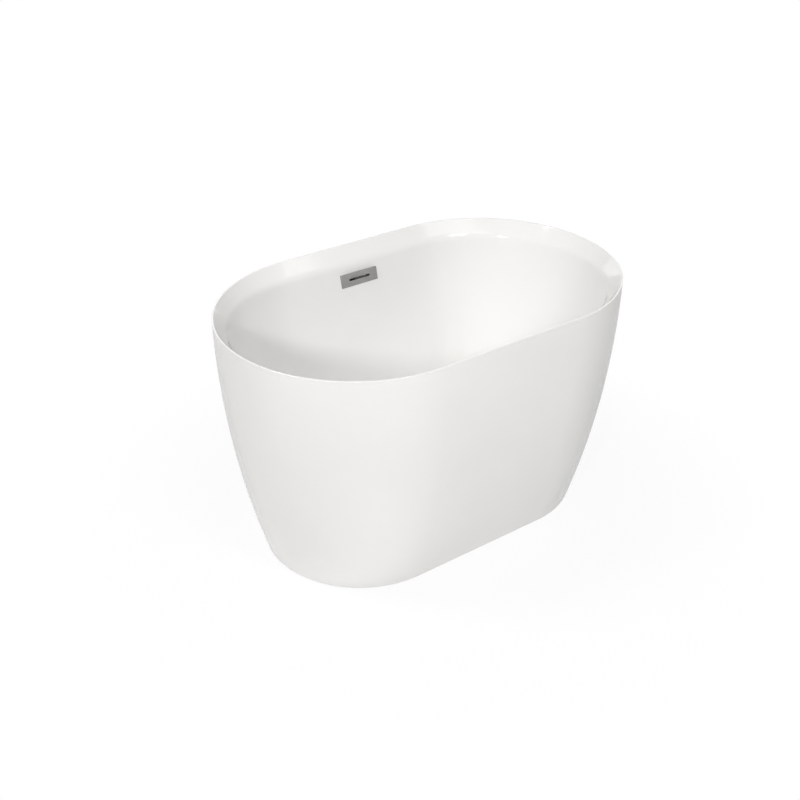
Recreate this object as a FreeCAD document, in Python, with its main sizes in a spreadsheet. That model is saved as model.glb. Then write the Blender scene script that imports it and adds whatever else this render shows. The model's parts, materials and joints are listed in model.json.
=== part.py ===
import FreeCAD, Part
import math
import os
import Sketcher
from FreeCAD import Placement, Rotation, Vector

# Small freestanding double-walled acrylic bathtub.
# Millimetres, +Z up, +X along the bath, +Y towards the overflow side, floor at Z = 0.

doc = FreeCAD.newDocument("bathtub")
sheet = doc.addObject("Spreadsheet::Sheet", "sizes")

DRIVING_SIZES = [
    # Overall form
    ("bath_length", 1100), ("bath_width", 700), ("bath_height", 655), ("skirt_taper", 88), ("floor_gap", 3),
    # Outer skirt
    ("skirt_thickness", 5), ("skirt_flange_width", 20),
    # Rim and basin
    ("lip_height", 8), ("lip_width", 4), ("lip_round", 1.5), ("shell_thickness", 5),
    ("rim_band_end", 31), ("rim_band_side", 40), ("crease_depth", 38), ("crease_round", 45),
    ("wall_run", 108), ("basin_floor_height", 150), ("basin_floor_round", 80),
    # Bonding bead under the rim
    ("bead_height", 15), ("bead_reach", 9), ("bead_gap", 0.1),
    # Reinforcing board under the basin floor
    ("board_end_inset", 74), ("board_past_rail", 40), ("board_thickness", 15), ("board_corner", 40),
    ("board_hole_clearance", 10),
    # Steel frame
    ("tube_side", 30), ("tube_wall", 2), ("crossbar_inset", 42), ("crossbar_past_straight", 40),
    ("rail_beside_hole", 27), ("insert_length", 20), ("insert_clearance", 0.2),
    # Screws that hold the board
    ("board_screw_inset", 75), ("board_screw_radius", 2.5), ("board_screw_head_radius", 5),
    ("board_screw_head", 3), ("board_screw_bite", 11), ("screw_clearance", 0.3),
    # Levelling feet
    ("foot_inset", 35), ("pad_radius", 25), ("pad_edge", 6), ("pad_height", 16), ("pad_neck_radius", 12),
    ("stud_radius", 6), ("stud_grip_height", 12), ("stud_grip_start", 20), ("stud_grip_radius", 7.5),
    ("ball_radius", 6.5), ("ball_height", 5), ("ball_start", 5.3), ("neck_radius", 4),
    ("stud_top_gap", 4), ("thread_clearance", 0.05), ("socket_clearance", 0.3),
    ("nut_radius", 10.5), ("nut_height", 10),
    # Brackets between frame and skirt
    ("bracket_width", 26), ("bracket_thickness", 3), ("bracket_gap", 9), ("bracket_bolt_radius", 3),
    ("bracket_bolt_head_radius", 5), ("bracket_bolt_head", 4), ("bracket_screw_radius", 2),
    ("bracket_screw_head_radius", 4), ("bracket_screw_head", 2.5), ("bracket_screw_inset", 7),
    # Waste fitting
    ("drain_clearance", 1.5), ("flange_radius", 35), ("flange_thickness", 2), ("upper_seal", 1),
    ("waste_tube_radius", 23), ("waste_tube_bore", 19), ("waste_tube_length", 39),
    ("spider_top", 17), ("spider_height", 10), ("spider_rib", 3), ("hub_radius", 11), ("lower_seal", 2),
    ("collar_radius", 38), ("collar_height", 6), ("waste_body_wall", 5), ("body_below_branch", 6),
    ("tail_radius", 20), ("tail_wall", 3), ("tail_above_floor", 18), ("tail_cone", 6),
    ("screw_fit", 0.15), ("branch_radius", 17), ("branch_reach", 66), ("branch_socket", 26),
    # Click-clack plug
    ("cartridge_radius", 7.9), ("cartridge_fit", 0.1), ("cartridge_flange_radius", 10.5),
    ("cartridge_flange", 3), ("cartridge_length", 34), ("cartridge_bore", 5.5), ("cartridge_floor", 2),
    ("cartridge_guide", 5), ("plunger_radius", 2.5), ("piston_fit", 0.05), ("piston_height", 4),
    ("piston_start", 13), ("cap_radius", 31), ("cap_edge", 2), ("cap_dome", 3), ("cap_gap", 2),
    ("plug_seal_outer", 28), ("plug_seal_inner", 22), ("plug_seal_gap", 0.3),
    ("spring_clearance", 0.9), ("spring_wire_radius", 0.6), ("spring_turns", 4),
    # Overflow cover and the frame behind it
    ("cover_length", 115), ("cover_height", 36), ("cover_thickness", 4.5), ("cover_below_crease", 45),
    ("cover_recess", 2.8), ("cover_border", 5), ("slot_length", 65), ("slot_height", 6), ("cover_edge", 0.6),
    ("frame_end_gap", 2), ("frame_side_gap", 1), ("frame_flange", 1.5), ("hole_lap_end", 4.5),
    ("hole_lap_side", 2), ("throat_end_gap", 4.5), ("throat_side_gap", 2), ("throat_wall", 2),
    ("throat_depth", 16), ("overflow_screw_inset", 4.5), ("overflow_screw_radius", 2),
    ("overflow_screw_head_radius", 3), ("overflow_screw_head", 1.2), ("overflow_screw_length", 18),
    # Overflow box and pipe behind the wall
    ("gasket_thickness", 2), ("gasket_end_land", 9), ("gasket_side_land", 13),
    ("box_flange", 3), ("box_end_flange", 6), ("box_side_flange", 5), ("box_depth", 25), ("box_wall", 3),
    ("outlet_setback", 24), ("outlet_radius", 16), ("outlet_length", 28), ("outlet_socket", 22),
    ("pipe_radius", 12.5), ("pipe_wall", 2), ("pipe_bend", 45), ("pipe_nut_radius", 18),
    ("pipe_nut_height", 14), ("pipe_clearance", 3), ("seat_clearance", 0.1), ("cut_overrun", 5),
]

for row, (alias, number) in enumerate(DRIVING_SIZES, start=1):
    sheet.set(f"A{row}", alias)
    sheet.set(f"B{row}", str(number))
    sheet.setAlias(f"B{row}", alias)
doc.recompute()

Constraint = Sketcher.Constraint
X_AXIS = Vector(1, 0, 0)
Z_AXIS = Vector(0, 0, 1)
QUARTER = math.pi / 2
SIDES = {"left": "-1", "right": "1"}
FACES = {"front": "-1", "back": "1"}

nodes = []


def length(expression):
    """The value in millimetres of an expression over the sheet."""
    result = sheet.evalExpression(expression)
    return float(getattr(result, "Value", result))


# Sizes and places of the shells
BASE_WIDTH = "(sizes.bath_width - 2 * sizes.skirt_taper)"
CREASE_LENGTH = "(sizes.bath_length - 2 * sizes.rim_band_end)"
CREASE_WIDTH = "(sizes.bath_width - 2 * sizes.rim_band_side)"
BASIN_FLOOR_LENGTH = f"({CREASE_LENGTH} - 2 * sizes.wall_run)"
BASIN_FLOOR_WIDTH = f"({CREASE_WIDTH} - 2 * sizes.wall_run)"
LIP_BOTTOM = "(sizes.bath_height - sizes.lip_height)"
CREASE_LEVEL = "(sizes.bath_height - sizes.crease_depth)"
UNDER_CREASE_LEVEL = f"({CREASE_LEVEL} - sizes.shell_thickness / 2)"
UNDER_FLOOR = "(sizes.basin_floor_height - sizes.shell_thickness)"
SKIRT_INSIDE = "(sizes.bath_width / 2 - sizes.skirt_thickness)"
WALL_RISE = f"({CREASE_LEVEL} - sizes.basin_floor_height)"
WALL_SLOPE = f"sqrt(sizes.wall_run^2 + {WALL_RISE}^2)"
LEAN_SIN = f"(sizes.wall_run / {WALL_SLOPE})"
LEAN_COS = f"({WALL_RISE} / {WALL_SLOPE})"

# Board, frame, feet and brackets
BOARD_LENGTH = f"({BASIN_FLOOR_LENGTH} - 2 * sizes.board_end_inset)"
BOARD_HOLE = "(sizes.collar_radius + sizes.board_hole_clearance)"
RAIL_Y = f"({BOARD_HOLE} + sizes.rail_beside_hole + sizes.tube_side / 2)"
BOARD_WIDTH = f"(2 * ({RAIL_Y} + sizes.board_past_rail))"
FRAME_TOP = f"({UNDER_FLOOR} - sizes.board_thickness)"
FRAME_BOTTOM = f"({FRAME_TOP} - sizes.tube_side)"
FRAME_MIDDLE = f"({FRAME_TOP} - sizes.tube_side / 2)"
CROSSBAR_LENGTH = f"({BASE_WIDTH} - 2 * sizes.crossbar_inset)"
CROSSBAR_X = "((sizes.bath_length - sizes.bath_width) / 2 + sizes.crossbar_past_straight)"
BOARD_SCREW_X = f"({CROSSBAR_X} - sizes.tube_side / 2 - sizes.board_screw_inset)"
FOOT_Y = f"({CROSSBAR_LENGTH} / 2 - sizes.foot_inset)"
BRACKET_LOW = "(sizes.floor_gap + sizes.skirt_thickness)"
BRACKET_FOOT = "(sizes.crossbar_inset - sizes.skirt_thickness - sizes.bracket_gap)"
BRACKET_SCREW_Y = f"({CROSSBAR_LENGTH} / 2 + {BRACKET_FOOT} - sizes.bracket_screw_inset)"

# Waste and plug
DRAIN_HOLE = "(sizes.waste_tube_radius + sizes.drain_clearance)"
FLANGE_SEAT = "(sizes.basin_floor_height + sizes.upper_seal)"
FLANGE_TOP = f"({FLANGE_SEAT} + sizes.flange_thickness)"
COLLAR_TOP = f"({UNDER_FLOOR} - sizes.lower_seal)"
WASTE_BODY_RADIUS = "(sizes.waste_tube_radius + sizes.waste_body_wall)"
BRANCH_LEVEL = f"({FRAME_BOTTOM} - sizes.pipe_nut_radius - sizes.pipe_clearance)"
BODY_LOW = f"({BRANCH_LEVEL} - sizes.branch_radius - sizes.body_below_branch)"
TAIL_BORE = "(sizes.tail_radius - sizes.tail_wall)"
CARTRIDGE_SEAT = f"({FLANGE_TOP} - sizes.spider_top)"
CARTRIDGE_LOW = f"({CARTRIDGE_SEAT} - sizes.cartridge_length)"
PISTON_RADIUS = "(sizes.cartridge_bore - sizes.piston_fit)"
SPRING_RADIUS = "(sizes.cartridge_bore - sizes.spring_clearance - sizes.spring_wire_radius)"
CAP_LOW = f"({FLANGE_TOP} + sizes.cap_gap)"

# Overflow, in the plane of the back wall: each piece within or around the one before
COVER_Z = f"({CREASE_LEVEL} - sizes.cover_below_crease)"
COVER_Y = f"({CREASE_WIDTH} / 2 - sizes.cover_below_crease * sizes.wall_run / {WALL_RISE})"
FRAME_FLANGE_LENGTH = "(sizes.cover_length - 2 * sizes.cover_border - 2 * sizes.frame_end_gap)"
FRAME_FLANGE_HEIGHT = "(sizes.cover_height - 2 * sizes.cover_border - 2 * sizes.frame_side_gap)"
HOLE_LENGTH = f"({FRAME_FLANGE_LENGTH} - 2 * sizes.hole_lap_end)"
HOLE_HEIGHT = f"({FRAME_FLANGE_HEIGHT} - 2 * sizes.hole_lap_side)"
OVERFLOW_SCREW_X = f"({HOLE_LENGTH} / 2 - sizes.overflow_screw_inset)"
THROAT_LENGTH = f"(2 * {OVERFLOW_SCREW_X} - 2 * sizes.throat_end_gap)"
THROAT_HEIGHT = f"({HOLE_HEIGHT} - 2 * sizes.throat_side_gap)"
GASKET_LENGTH = f"({HOLE_LENGTH} + 2 * sizes.gasket_end_land)"
GASKET_HEIGHT = f"({HOLE_HEIGHT} + 2 * sizes.gasket_side_land)"
BOX_LENGTH = f"({GASKET_LENGTH} - 2 * sizes.box_end_flange)"
BOX_HEIGHT = f"({GASKET_HEIGHT} - 2 * sizes.box_side_flange)"
BACK_RUN = f"(({UNDER_CREASE_LEVEL} - {COVER_Z}) * sizes.wall_run / ({UNDER_CREASE_LEVEL} - {UNDER_FLOOR}))"
BACK_OF_WALL_Y = f"({CREASE_WIDTH} / 2 + sizes.shell_thickness - {BACK_RUN})"
WALL_THROUGH = f"(({BACK_OF_WALL_Y} - {COVER_Y}) * {LEAN_COS} + sizes.seat_clearance)"
BOX_FRONT = f"({WALL_THROUGH} + sizes.gasket_thickness)"
BOX_CAVITY_LENGTH = f"({THROAT_LENGTH} + 2 * sizes.screw_clearance)"
BOX_CAVITY_HEIGHT = f"({BOX_HEIGHT} - 2 * sizes.box_wall)"

# Overflow pipe, whose upper end stays a little short of the bottom of its socket
PIPE_BORE = "(sizes.pipe_radius + sizes.screw_fit)"
OUTLET_DOWN = f"({BOX_HEIGHT} / 2 + sizes.outlet_length)"
PIPE_TOP_DOWN = f"({OUTLET_DOWN} - sizes.outlet_socket + sizes.screw_clearance)"
PIPE_TOP_Y = f"({COVER_Y} - {PIPE_TOP_DOWN} * {LEAN_SIN} + sizes.outlet_setback * {LEAN_COS})"
PIPE_TOP_Z = f"({COVER_Z} - {PIPE_TOP_DOWN} * {LEAN_COS} - sizes.outlet_setback * {LEAN_SIN})"
PIPE_LOW_Y = "(sizes.branch_reach - sizes.branch_socket + sizes.screw_clearance)"
PIPE_CORNER_Y = f"({PIPE_TOP_Y} - ({PIPE_TOP_Z} - {BRANCH_LEVEL}) * {LEAN_SIN} / {LEAN_COS})"


def origin_plane(body, role):
    """One of the body's own origin planes, found by its role."""
    return [item for item in body.Origin.OriginFeatures if item.Role == role][0]


def new_body(label):
    body = doc.addObject("PartDesign::Body", label)
    body.Label = label
    return body


def new_sketch(body, name, role, offset="0"):
    """A sketch on an origin plane of its body, raised by offset along that plane's normal."""
    sketch = body.newObject("Sketcher::SketchObject", f"{body.Name}_{name}")
    sketch.AttachmentSupport = [(origin_plane(body, role), "")]
    sketch.MapMode = "FlatFace"
    sketch.setExpression("AttachmentOffset.Base.z", offset)
    return sketch


def bind(sketch, kind, *where_and_expression):
    """Adds a dimension that follows an expression."""
    *where, expression = where_and_expression
    index = sketch.addConstraint(Constraint(kind, *where, length(expression)))
    sketch.setExpression(f"Constraints[{index}]", expression)


def locate(sketch, geometry, point, x=None, y=None):
    """Ties a point's distances from the sketch origin to expressions."""
    for kind, expression in (("DistanceX", x), ("DistanceY", y)):
        if expression is not None:
            bind(sketch, kind, -1, 1, geometry, point, expression)


def draw_outline(sketch, points):
    """A closed outline of straight lines through points given as pairs of expressions."""
    places = [Vector(length(x), length(y), 0) for x, y in points]
    lines = []
    for start, end in zip(places, places[1:] + places[:1]):
        lines.append(sketch.addGeometry(Part.LineSegment(start, end), False))
    for line, following in zip(lines, lines[1:] + lines[:1]):
        sketch.addConstraint(Constraint("Coincident", line, 2, following, 1))
    for line, (x, y) in zip(lines, points):
        locate(sketch, line, 1, x, y)


def draw_rectangle(sketch, width, height, x="0", y="0"):
    """A rectangle about the point x, y."""
    left = f"{x} - ({width}) / 2"
    right = f"{x} + ({width}) / 2"
    low = f"{y} - ({height}) / 2"
    high = f"{y} + ({height}) / 2"
    draw_outline(sketch, [(left, low), (right, low), (right, high), (left, high)])


def draw_circle(sketch, radius, x="0", y="0"):
    centre = Vector(length(x), length(y), 0)
    circle = sketch.addGeometry(Part.Circle(centre, Z_AXIS, length(radius)), False)
    bind(sketch, "Radius", circle, radius)
    locate(sketch, circle, 3, x, y)


def draw_stadium(sketch, whole_length, whole_width):
    """Two straight sides with half-circle ends. The first side is split at its middle."""
    straight = f"(({whole_length}) - ({whole_width})) / 2"
    radius = f"({whole_width}) / 2"
    c = length(straight)
    r = length(radius)
    start = sketch.addGeometry(Part.LineSegment(Vector(0, r, 0), Vector(c, r, 0)), False)
    right_circle = Part.Circle(Vector(c, 0, 0), Z_AXIS, r)
    right = sketch.addGeometry(Part.ArcOfCircle(right_circle, -QUARTER, QUARTER), False)
    side = sketch.addGeometry(Part.LineSegment(Vector(c, -r, 0), Vector(-c, -r, 0)), False)
    left_circle = Part.Circle(Vector(-c, 0, 0), Z_AXIS, r)
    left = sketch.addGeometry(Part.ArcOfCircle(left_circle, QUARTER, 3 * QUARTER), False)
    finish = sketch.addGeometry(Part.LineSegment(Vector(-c, r, 0), Vector(0, r, 0)), False)
    sketch.addConstraint([
        Constraint("Tangent", start, 2, right, 2),
        Constraint("Tangent", right, 1, side, 1),
        Constraint("Tangent", side, 2, left, 2),
        Constraint("Tangent", left, 1, finish, 1),
        Constraint("Coincident", finish, 2, start, 1),
        Constraint("Horizontal", start),
        Constraint("Horizontal", finish),
        Constraint("PointOnObject", start, 1, -2),
    ])
    locate(sketch, right, 3, straight, "0")
    locate(sketch, left, 3, f"-({straight})", "0")
    locate(sketch, start, 1, None, radius)


def pad(body, sketch, height, midplane=False, reverse=False):
    feature = body.newObject("PartDesign::Pad", f"{sketch.Name}_pad")
    feature.Profile = sketch
    feature.setExpression("Length", height)
    feature.Midplane = midplane
    feature.Reversed = reverse
    doc.recompute()
    return feature


def pocket(body, sketch, depth, midplane=False, reverse=False):
    """Cuts the sketch from the body, and stops if nothing was cut."""
    before = body.Shape.Volume
    feature = body.newObject("PartDesign::Pocket", f"{sketch.Name}_cut")
    feature.Profile = sketch
    feature.setExpression("Length", depth)
    feature.Midplane = midplane
    feature.Reversed = reverse
    doc.recompute()
    if not body.Shape.Volume < before:
        raise RuntimeError(f"{feature.Name} cuts nothing")
    return feature


def revolve(body, sketch):
    """Turns a profile once round its sketch's vertical axis."""
    feature = body.newObject("PartDesign::Revolution", f"{sketch.Name}_turned")
    feature.Profile = sketch
    feature.ReferenceAxis = (sketch, ["V_Axis"])
    feature.Angle = 360
    doc.recompute()
    return feature


def sweep(body, profile, path):
    feature = body.newObject("PartDesign::AdditivePipe", f"{profile.Name}_swept")
    feature.Profile = profile
    feature.Spine = path
    doc.recompute()
    return feature


def place(item, x="0", y="0", z="0", rotation=None):
    """Puts a sub-part at expressions for its three coordinates, turned by an optional rotation."""
    if rotation is not None:
        item.Placement = Placement(Vector(0, 0, 0), rotation)
    for axis, expression in zip("xyz", (x, y, z)):
        item.setExpression(f"Placement.Base.{axis}", expression)


def keep(item, label):
    """Names a finished sub-part and lists it for writing."""
    item.Label = label
    nodes.append(item)
    return item


def level_edges(shape, level):
    """Names of the edges that lie all round at one level."""
    near = length("sizes.seat_clearance")
    found = []
    for index, edge in enumerate(shape.Edges, start=1):
        box = edge.BoundBox
        if abs(box.ZMin - level) < near and abs(box.ZMax - level) < near:
            found.append(f"Edge{index}")
    return found


def cylinder(name, radius, height, x="0", y="0", z="0", rotation=None):
    item = doc.addObject("Part::Cylinder", name)
    item.setExpression("Radius", radius)
    item.setExpression("Height", height)
    place(item, x, y, z, rotation)
    return item


def hexagon(name, radius, height, x="0", y="0", z="0", rotation=None):
    item = doc.addObject("Part::Prism", name)
    item.Polygon = 6
    item.setExpression("Circumradius", radius)
    item.setExpression("Height", height)
    place(item, x, y, z, rotation)
    return item


def cut(name, base, tool):
    item = doc.addObject("Part::Cut", name)
    item.Base = base
    item.Tool = tool
    return item


def group(label, items):
    """Several alike solids that share one node."""
    item = doc.addObject("Part::Compound", label)
    item.Links = items
    return keep(item, label)


def ring(label, outer, inner, height, z):
    """A flat ring about the vertical axis."""
    body = new_body(label)
    sketch = new_sketch(body, "plan", "XY_Plane")
    draw_circle(sketch, outer)
    draw_circle(sketch, inner)
    pad(body, sketch, height)
    place(body, z=z)
    return keep(body, label)


def corners():
    """The four corners of the frame: a name and the signs of X and Y."""
    for face, y_sign in FACES.items():
        for side, x_sign in SIDES.items():
            yield f"{face}_{side}", x_sign, y_sign


def outer_skirt():
    """The outer shell: one curved wall section carried round the stadium, with a flange at its foot."""
    body = new_body("outer_skirt")
    path = new_sketch(body, "path", "XY_Plane")
    draw_stadium(path, "sizes.bath_length - 2 * sizes.skirt_taper", BASE_WIDTH)
    wall = new_sketch(body, "wall", "YZ_Plane")
    top = Vector(length("sizes.bath_width / 2"), length(LIP_BOTTOM), 0)
    foot = Vector(length(f"{BASE_WIDTH} / 2"), length("sizes.floor_gap"), 0)
    thick = length("sizes.skirt_thickness")
    rise = top.y - foot.y
    lean = top.x - foot.x
    bow = (rise ** 2 + lean ** 2) / (2 * lean)
    centre = Vector(top.x - bow, top.y, 0)
    outer_angle = -math.asin(rise / bow)
    inner_angle = -math.asin((rise - thick) / (bow - thick))
    inner_foot = centre + Vector(math.cos(inner_angle), math.sin(inner_angle), 0) * (bow - thick)
    flange_x = foot.x - thick - length("sizes.skirt_flange_width")
    flange_top = Vector(flange_x, foot.y + thick, 0)
    flange_low = Vector(flange_x, foot.y, 0)
    outside = wall.addGeometry(Part.ArcOfCircle(Part.Circle(centre, Z_AXIS, bow), outer_angle, 0), False)
    inside_circle = Part.Circle(centre, Z_AXIS, bow - thick)
    inside = wall.addGeometry(Part.ArcOfCircle(inside_circle, inner_angle, 0), False)
    seat = wall.addGeometry(Part.LineSegment(top, top - Vector(thick, 0, 0)), False)
    ledge = wall.addGeometry(Part.LineSegment(inner_foot, flange_top), False)
    edge = wall.addGeometry(Part.LineSegment(flange_top, flange_low), False)
    sole = wall.addGeometry(Part.LineSegment(flange_low, foot), False)
    wall.addConstraint([
        Constraint("Coincident", outside, 2, seat, 1),
        Constraint("Coincident", seat, 2, inside, 2),
        Constraint("Coincident", inside, 1, ledge, 1),
        Constraint("Coincident", ledge, 2, edge, 1),
        Constraint("Coincident", edge, 2, sole, 1),
        Constraint("Coincident", sole, 2, outside, 1),
        Constraint("Coincident", outside, 3, inside, 3),
        Constraint("Horizontal", outside, 3, outside, 2),
        Constraint("Horizontal", seat),
        Constraint("Horizontal", ledge),
        Constraint("Vertical", edge),
    ])
    flange_edge = f"{BASE_WIDTH} / 2 - sizes.skirt_thickness - sizes.skirt_flange_width"
    locate(wall, outside, 2, "sizes.bath_width / 2", LIP_BOTTOM)
    locate(wall, outside, 1, f"{BASE_WIDTH} / 2", "sizes.floor_gap")
    locate(wall, inside, 2, SKIRT_INSIDE)
    locate(wall, ledge, 2, flange_edge, "sizes.floor_gap + sizes.skirt_thickness")
    locate(wall, edge, 2, None, "sizes.floor_gap")
    sweep(body, wall, path)
    holes = new_sketch(body, "screw_holes", "XY_Plane", "sizes.floor_gap - sizes.cut_overrun")
    for name, x_sign, y_sign in corners():
        draw_circle(holes, "sizes.bracket_screw_radius + sizes.screw_clearance",
                    f"{x_sign} * {CROSSBAR_X}", f"{y_sign} * {BRACKET_SCREW_Y}")
    pocket(body, holes, "sizes.skirt_thickness + 2 * sizes.cut_overrun", reverse=True)
    return keep(body, "outer_skirt")


def bowl_form(label, sections, crease, floor, crease_round, floor_round):
    """A solid bowl through stadium sections, rounded at its crease and round its floor."""
    body = new_body(label)
    sketches = []
    for index, (whole_length, whole_width, level) in enumerate(sections):
        sketch = new_sketch(body, f"section{index}", "XY_Plane", level)
        draw_stadium(sketch, whole_length, whole_width)
        sketches.append(sketch)
    loft = body.newObject("PartDesign::AdditiveLoft", f"{label}_loft")
    loft.Profile = sketches[0]
    loft.Sections = sketches[1:]
    loft.Ruled = True
    doc.recompute()
    last = loft
    for level, radius in ((crease, crease_round), (floor, floor_round)):
        fillet = body.newObject("PartDesign::Fillet", f"{label}_round")
        fillet.Base = (last, level_edges(last.Shape, length(level)))
        fillet.setExpression("Radius", radius)
        doc.recompute()
        last = fillet
    return body


def inner_basin():
    """The inner shell: rim band, crease, leaning wall and floor, with holes for drain and overflow."""
    under_rim = ("sizes.bath_length - 2 * sizes.skirt_thickness",
                 "sizes.bath_width - 2 * sizes.skirt_thickness", LIP_BOTTOM)
    under_crease = (f"{CREASE_LENGTH} + 2 * sizes.shell_thickness",
                    f"{CREASE_WIDTH} + 2 * sizes.shell_thickness", UNDER_CREASE_LEVEL)
    under_floor = (f"{BASIN_FLOOR_LENGTH} + 2 * sizes.shell_thickness",
                   f"{BASIN_FLOOR_WIDTH} + 2 * sizes.shell_thickness", UNDER_FLOOR)
    outside = bowl_form("basin_outside", [under_rim, under_crease, under_floor], UNDER_CREASE_LEVEL,
                        UNDER_FLOOR, "sizes.crease_round - sizes.shell_thickness",
                        "sizes.basin_floor_round + sizes.shell_thickness")
    lip = new_sketch(outside, "lip", "XY_Plane", LIP_BOTTOM)
    draw_stadium(lip, "sizes.bath_length", "sizes.bath_width")
    pad(outside, lip, "sizes.lip_height")
    rim = ("sizes.bath_length - 2 * sizes.lip_width", "sizes.bath_width - 2 * sizes.lip_width",
           "sizes.bath_height")
    crease = (CREASE_LENGTH, CREASE_WIDTH, CREASE_LEVEL)
    floor = (BASIN_FLOOR_LENGTH, BASIN_FLOOR_WIDTH, "sizes.basin_floor_height")
    hollow = bowl_form("basin_hollow", [rim, crease, floor], CREASE_LEVEL, "sizes.basin_floor_height",
                       "sizes.crease_round", "sizes.basin_floor_round")
    shell = cut("basin_shell", outside, hollow)
    drain = cylinder("drain_hole", DRAIN_HOLE, "sizes.shell_thickness + 2 * sizes.cut_overrun",
                     z=f"{UNDER_FLOOR} - sizes.cut_overrun")
    drained = cut("basin_drained", shell, drain)
    slot = new_body("overflow_hole")
    opening = new_sketch(slot, "plan", "XY_Plane")
    draw_rectangle(opening, HOLE_LENGTH, HOLE_HEIGHT)
    pad(slot, opening, f"2 * ({WALL_THROUGH} + sizes.cut_overrun)", midplane=True)
    put_on_wall(slot)
    opened = cut("basin_opened", drained, slot)
    doc.recompute()
    rounded = doc.addObject("Part::Fillet", "inner_basin")
    rounded.Base = opened
    radius = length("sizes.lip_round")
    rim_edges = level_edges(opened.Shape, length("sizes.bath_height"))
    rounded.Edges = [(int(name[len("Edge"):]), radius, radius) for name in rim_edges]
    return keep(rounded, "inner_basin")


def rim_bond_bead():
    """The resin bead that joins the skirt to the underside of the rim."""
    body = new_body("rim_bond_bead")
    path = new_sketch(body, "path", "XY_Plane")
    draw_stadium(path, "sizes.bath_length", "sizes.bath_width")
    bead = new_sketch(body, "bead", "YZ_Plane")
    wall = f"{SKIRT_INSIDE} - sizes.bead_gap"
    draw_outline(bead, [
        (wall, f"{LIP_BOTTOM} - 3 * sizes.bead_gap"),
        (wall, f"{LIP_BOTTOM} - sizes.bead_height"),
        (f"{wall} - sizes.bead_reach", f"{LIP_BOTTOM} - sizes.bead_height"),
    ])
    sweep(body, bead, path)
    return keep(body, "rim_bond_bead")


def base_board():
    """The reinforcing board bonded under the basin floor."""
    body = new_body("base_board")
    plan = new_sketch(body, "plan", "XY_Plane", FRAME_TOP)
    draw_rectangle(plan, BOARD_LENGTH, BOARD_WIDTH)
    board = pad(body, plan, "sizes.board_thickness")
    upright = [f"Edge{index}" for index, edge in enumerate(board.Shape.Edges, start=1)
               if edge.BoundBox.ZLength > length("sizes.board_thickness") / 2]
    fillet = body.newObject("PartDesign::Fillet", "board_corners")
    fillet.Base = (board, upright)
    fillet.setExpression("Radius", "sizes.board_corner")
    doc.recompute()
    hole = new_sketch(body, "waste_hole", "XY_Plane", f"{FRAME_TOP} - sizes.cut_overrun")
    draw_circle(hole, BOARD_HOLE)
    pocket(body, hole, "sizes.board_thickness + 2 * sizes.cut_overrun", reverse=True)
    pilots = new_sketch(body, "pilot_holes", "XY_Plane", f"{FRAME_TOP} - sizes.cut_overrun")
    for name, x_sign, y_sign in corners():
        draw_circle(pilots, "sizes.board_screw_radius + sizes.thread_clearance",
                    f"{x_sign} * {BOARD_SCREW_X}", f"{y_sign} * {RAIL_Y}")
    pilot_depth = "sizes.board_screw_bite + sizes.screw_clearance + sizes.cut_overrun"
    pocket(body, pilots, pilot_depth, reverse=True)
    return keep(body, "base_board")


def square_tube(label, role, tube_length):
    """A square steel tube centred on the normal of one of its origin planes."""
    body = new_body(label)
    section = new_sketch(body, "section", role)
    draw_rectangle(section, "sizes.tube_side", "sizes.tube_side", y=FRAME_MIDDLE)
    inner_side = "sizes.tube_side - 2 * sizes.tube_wall"
    draw_rectangle(section, inner_side, inner_side, y=FRAME_MIDDLE)
    pad(body, section, tube_length, midplane=True)
    return body


def frame_rail(face, y_sign):
    """A rail along the bath, drilled for the screws that hold the board."""
    body = square_tube(f"frame_rail_{face}", "YZ_Plane", f"2 * {CROSSBAR_X} - sizes.tube_side")
    holes = new_sketch(body, "screw_holes", "XY_Plane", f"{FRAME_BOTTOM} - sizes.cut_overrun")
    for x_sign in SIDES.values():
        draw_circle(holes, "sizes.board_screw_radius + sizes.screw_clearance", f"{x_sign} * {BOARD_SCREW_X}")
    pocket(body, holes, "sizes.tube_side + 2 * sizes.cut_overrun", reverse=True)
    place(body, y=f"{y_sign} * {RAIL_Y}")
    return keep(body, f"frame_rail_{face}")


def frame_crossbar(side, x_sign):
    """A bar across the bath, drilled from below for the levelling studs."""
    body = square_tube(f"frame_crossbar_{side}", "XZ_Plane", CROSSBAR_LENGTH)
    holes = new_sketch(body, "stud_holes", "XY_Plane", f"{FRAME_BOTTOM} - sizes.cut_overrun")
    for y_sign in FACES.values():
        draw_circle(holes, "sizes.stud_radius + sizes.screw_clearance", "0", f"{y_sign} * {FOOT_Y}")
    pocket(body, holes, "sizes.tube_wall + 2 * sizes.cut_overrun", reverse=True)
    place(body, x=f"{x_sign} * {CROSSBAR_X}")
    return keep(body, f"frame_crossbar_{side}")


def board_screws():
    """Wood screws from under the rails into the board."""
    screws = []
    for name, x_sign, y_sign in corners():
        x = f"{x_sign} * {BOARD_SCREW_X}"
        y = f"{y_sign} * {RAIL_Y}"
        head = cylinder(f"board_screw_head_{name}", "sizes.board_screw_head_radius",
                        "sizes.board_screw_head", x, y, f"{FRAME_BOTTOM} - sizes.board_screw_head")
        shank = cylinder(f"board_screw_shank_{name}", "sizes.board_screw_radius",
                         "sizes.tube_side + sizes.board_screw_bite", x, y, FRAME_BOTTOM)
        screw = doc.addObject("Part::Fuse", f"board_screw_{name}")
        screw.Base = head
        screw.Tool = shank
        screws.append(screw)
    return group("board_screws", screws)


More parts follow.
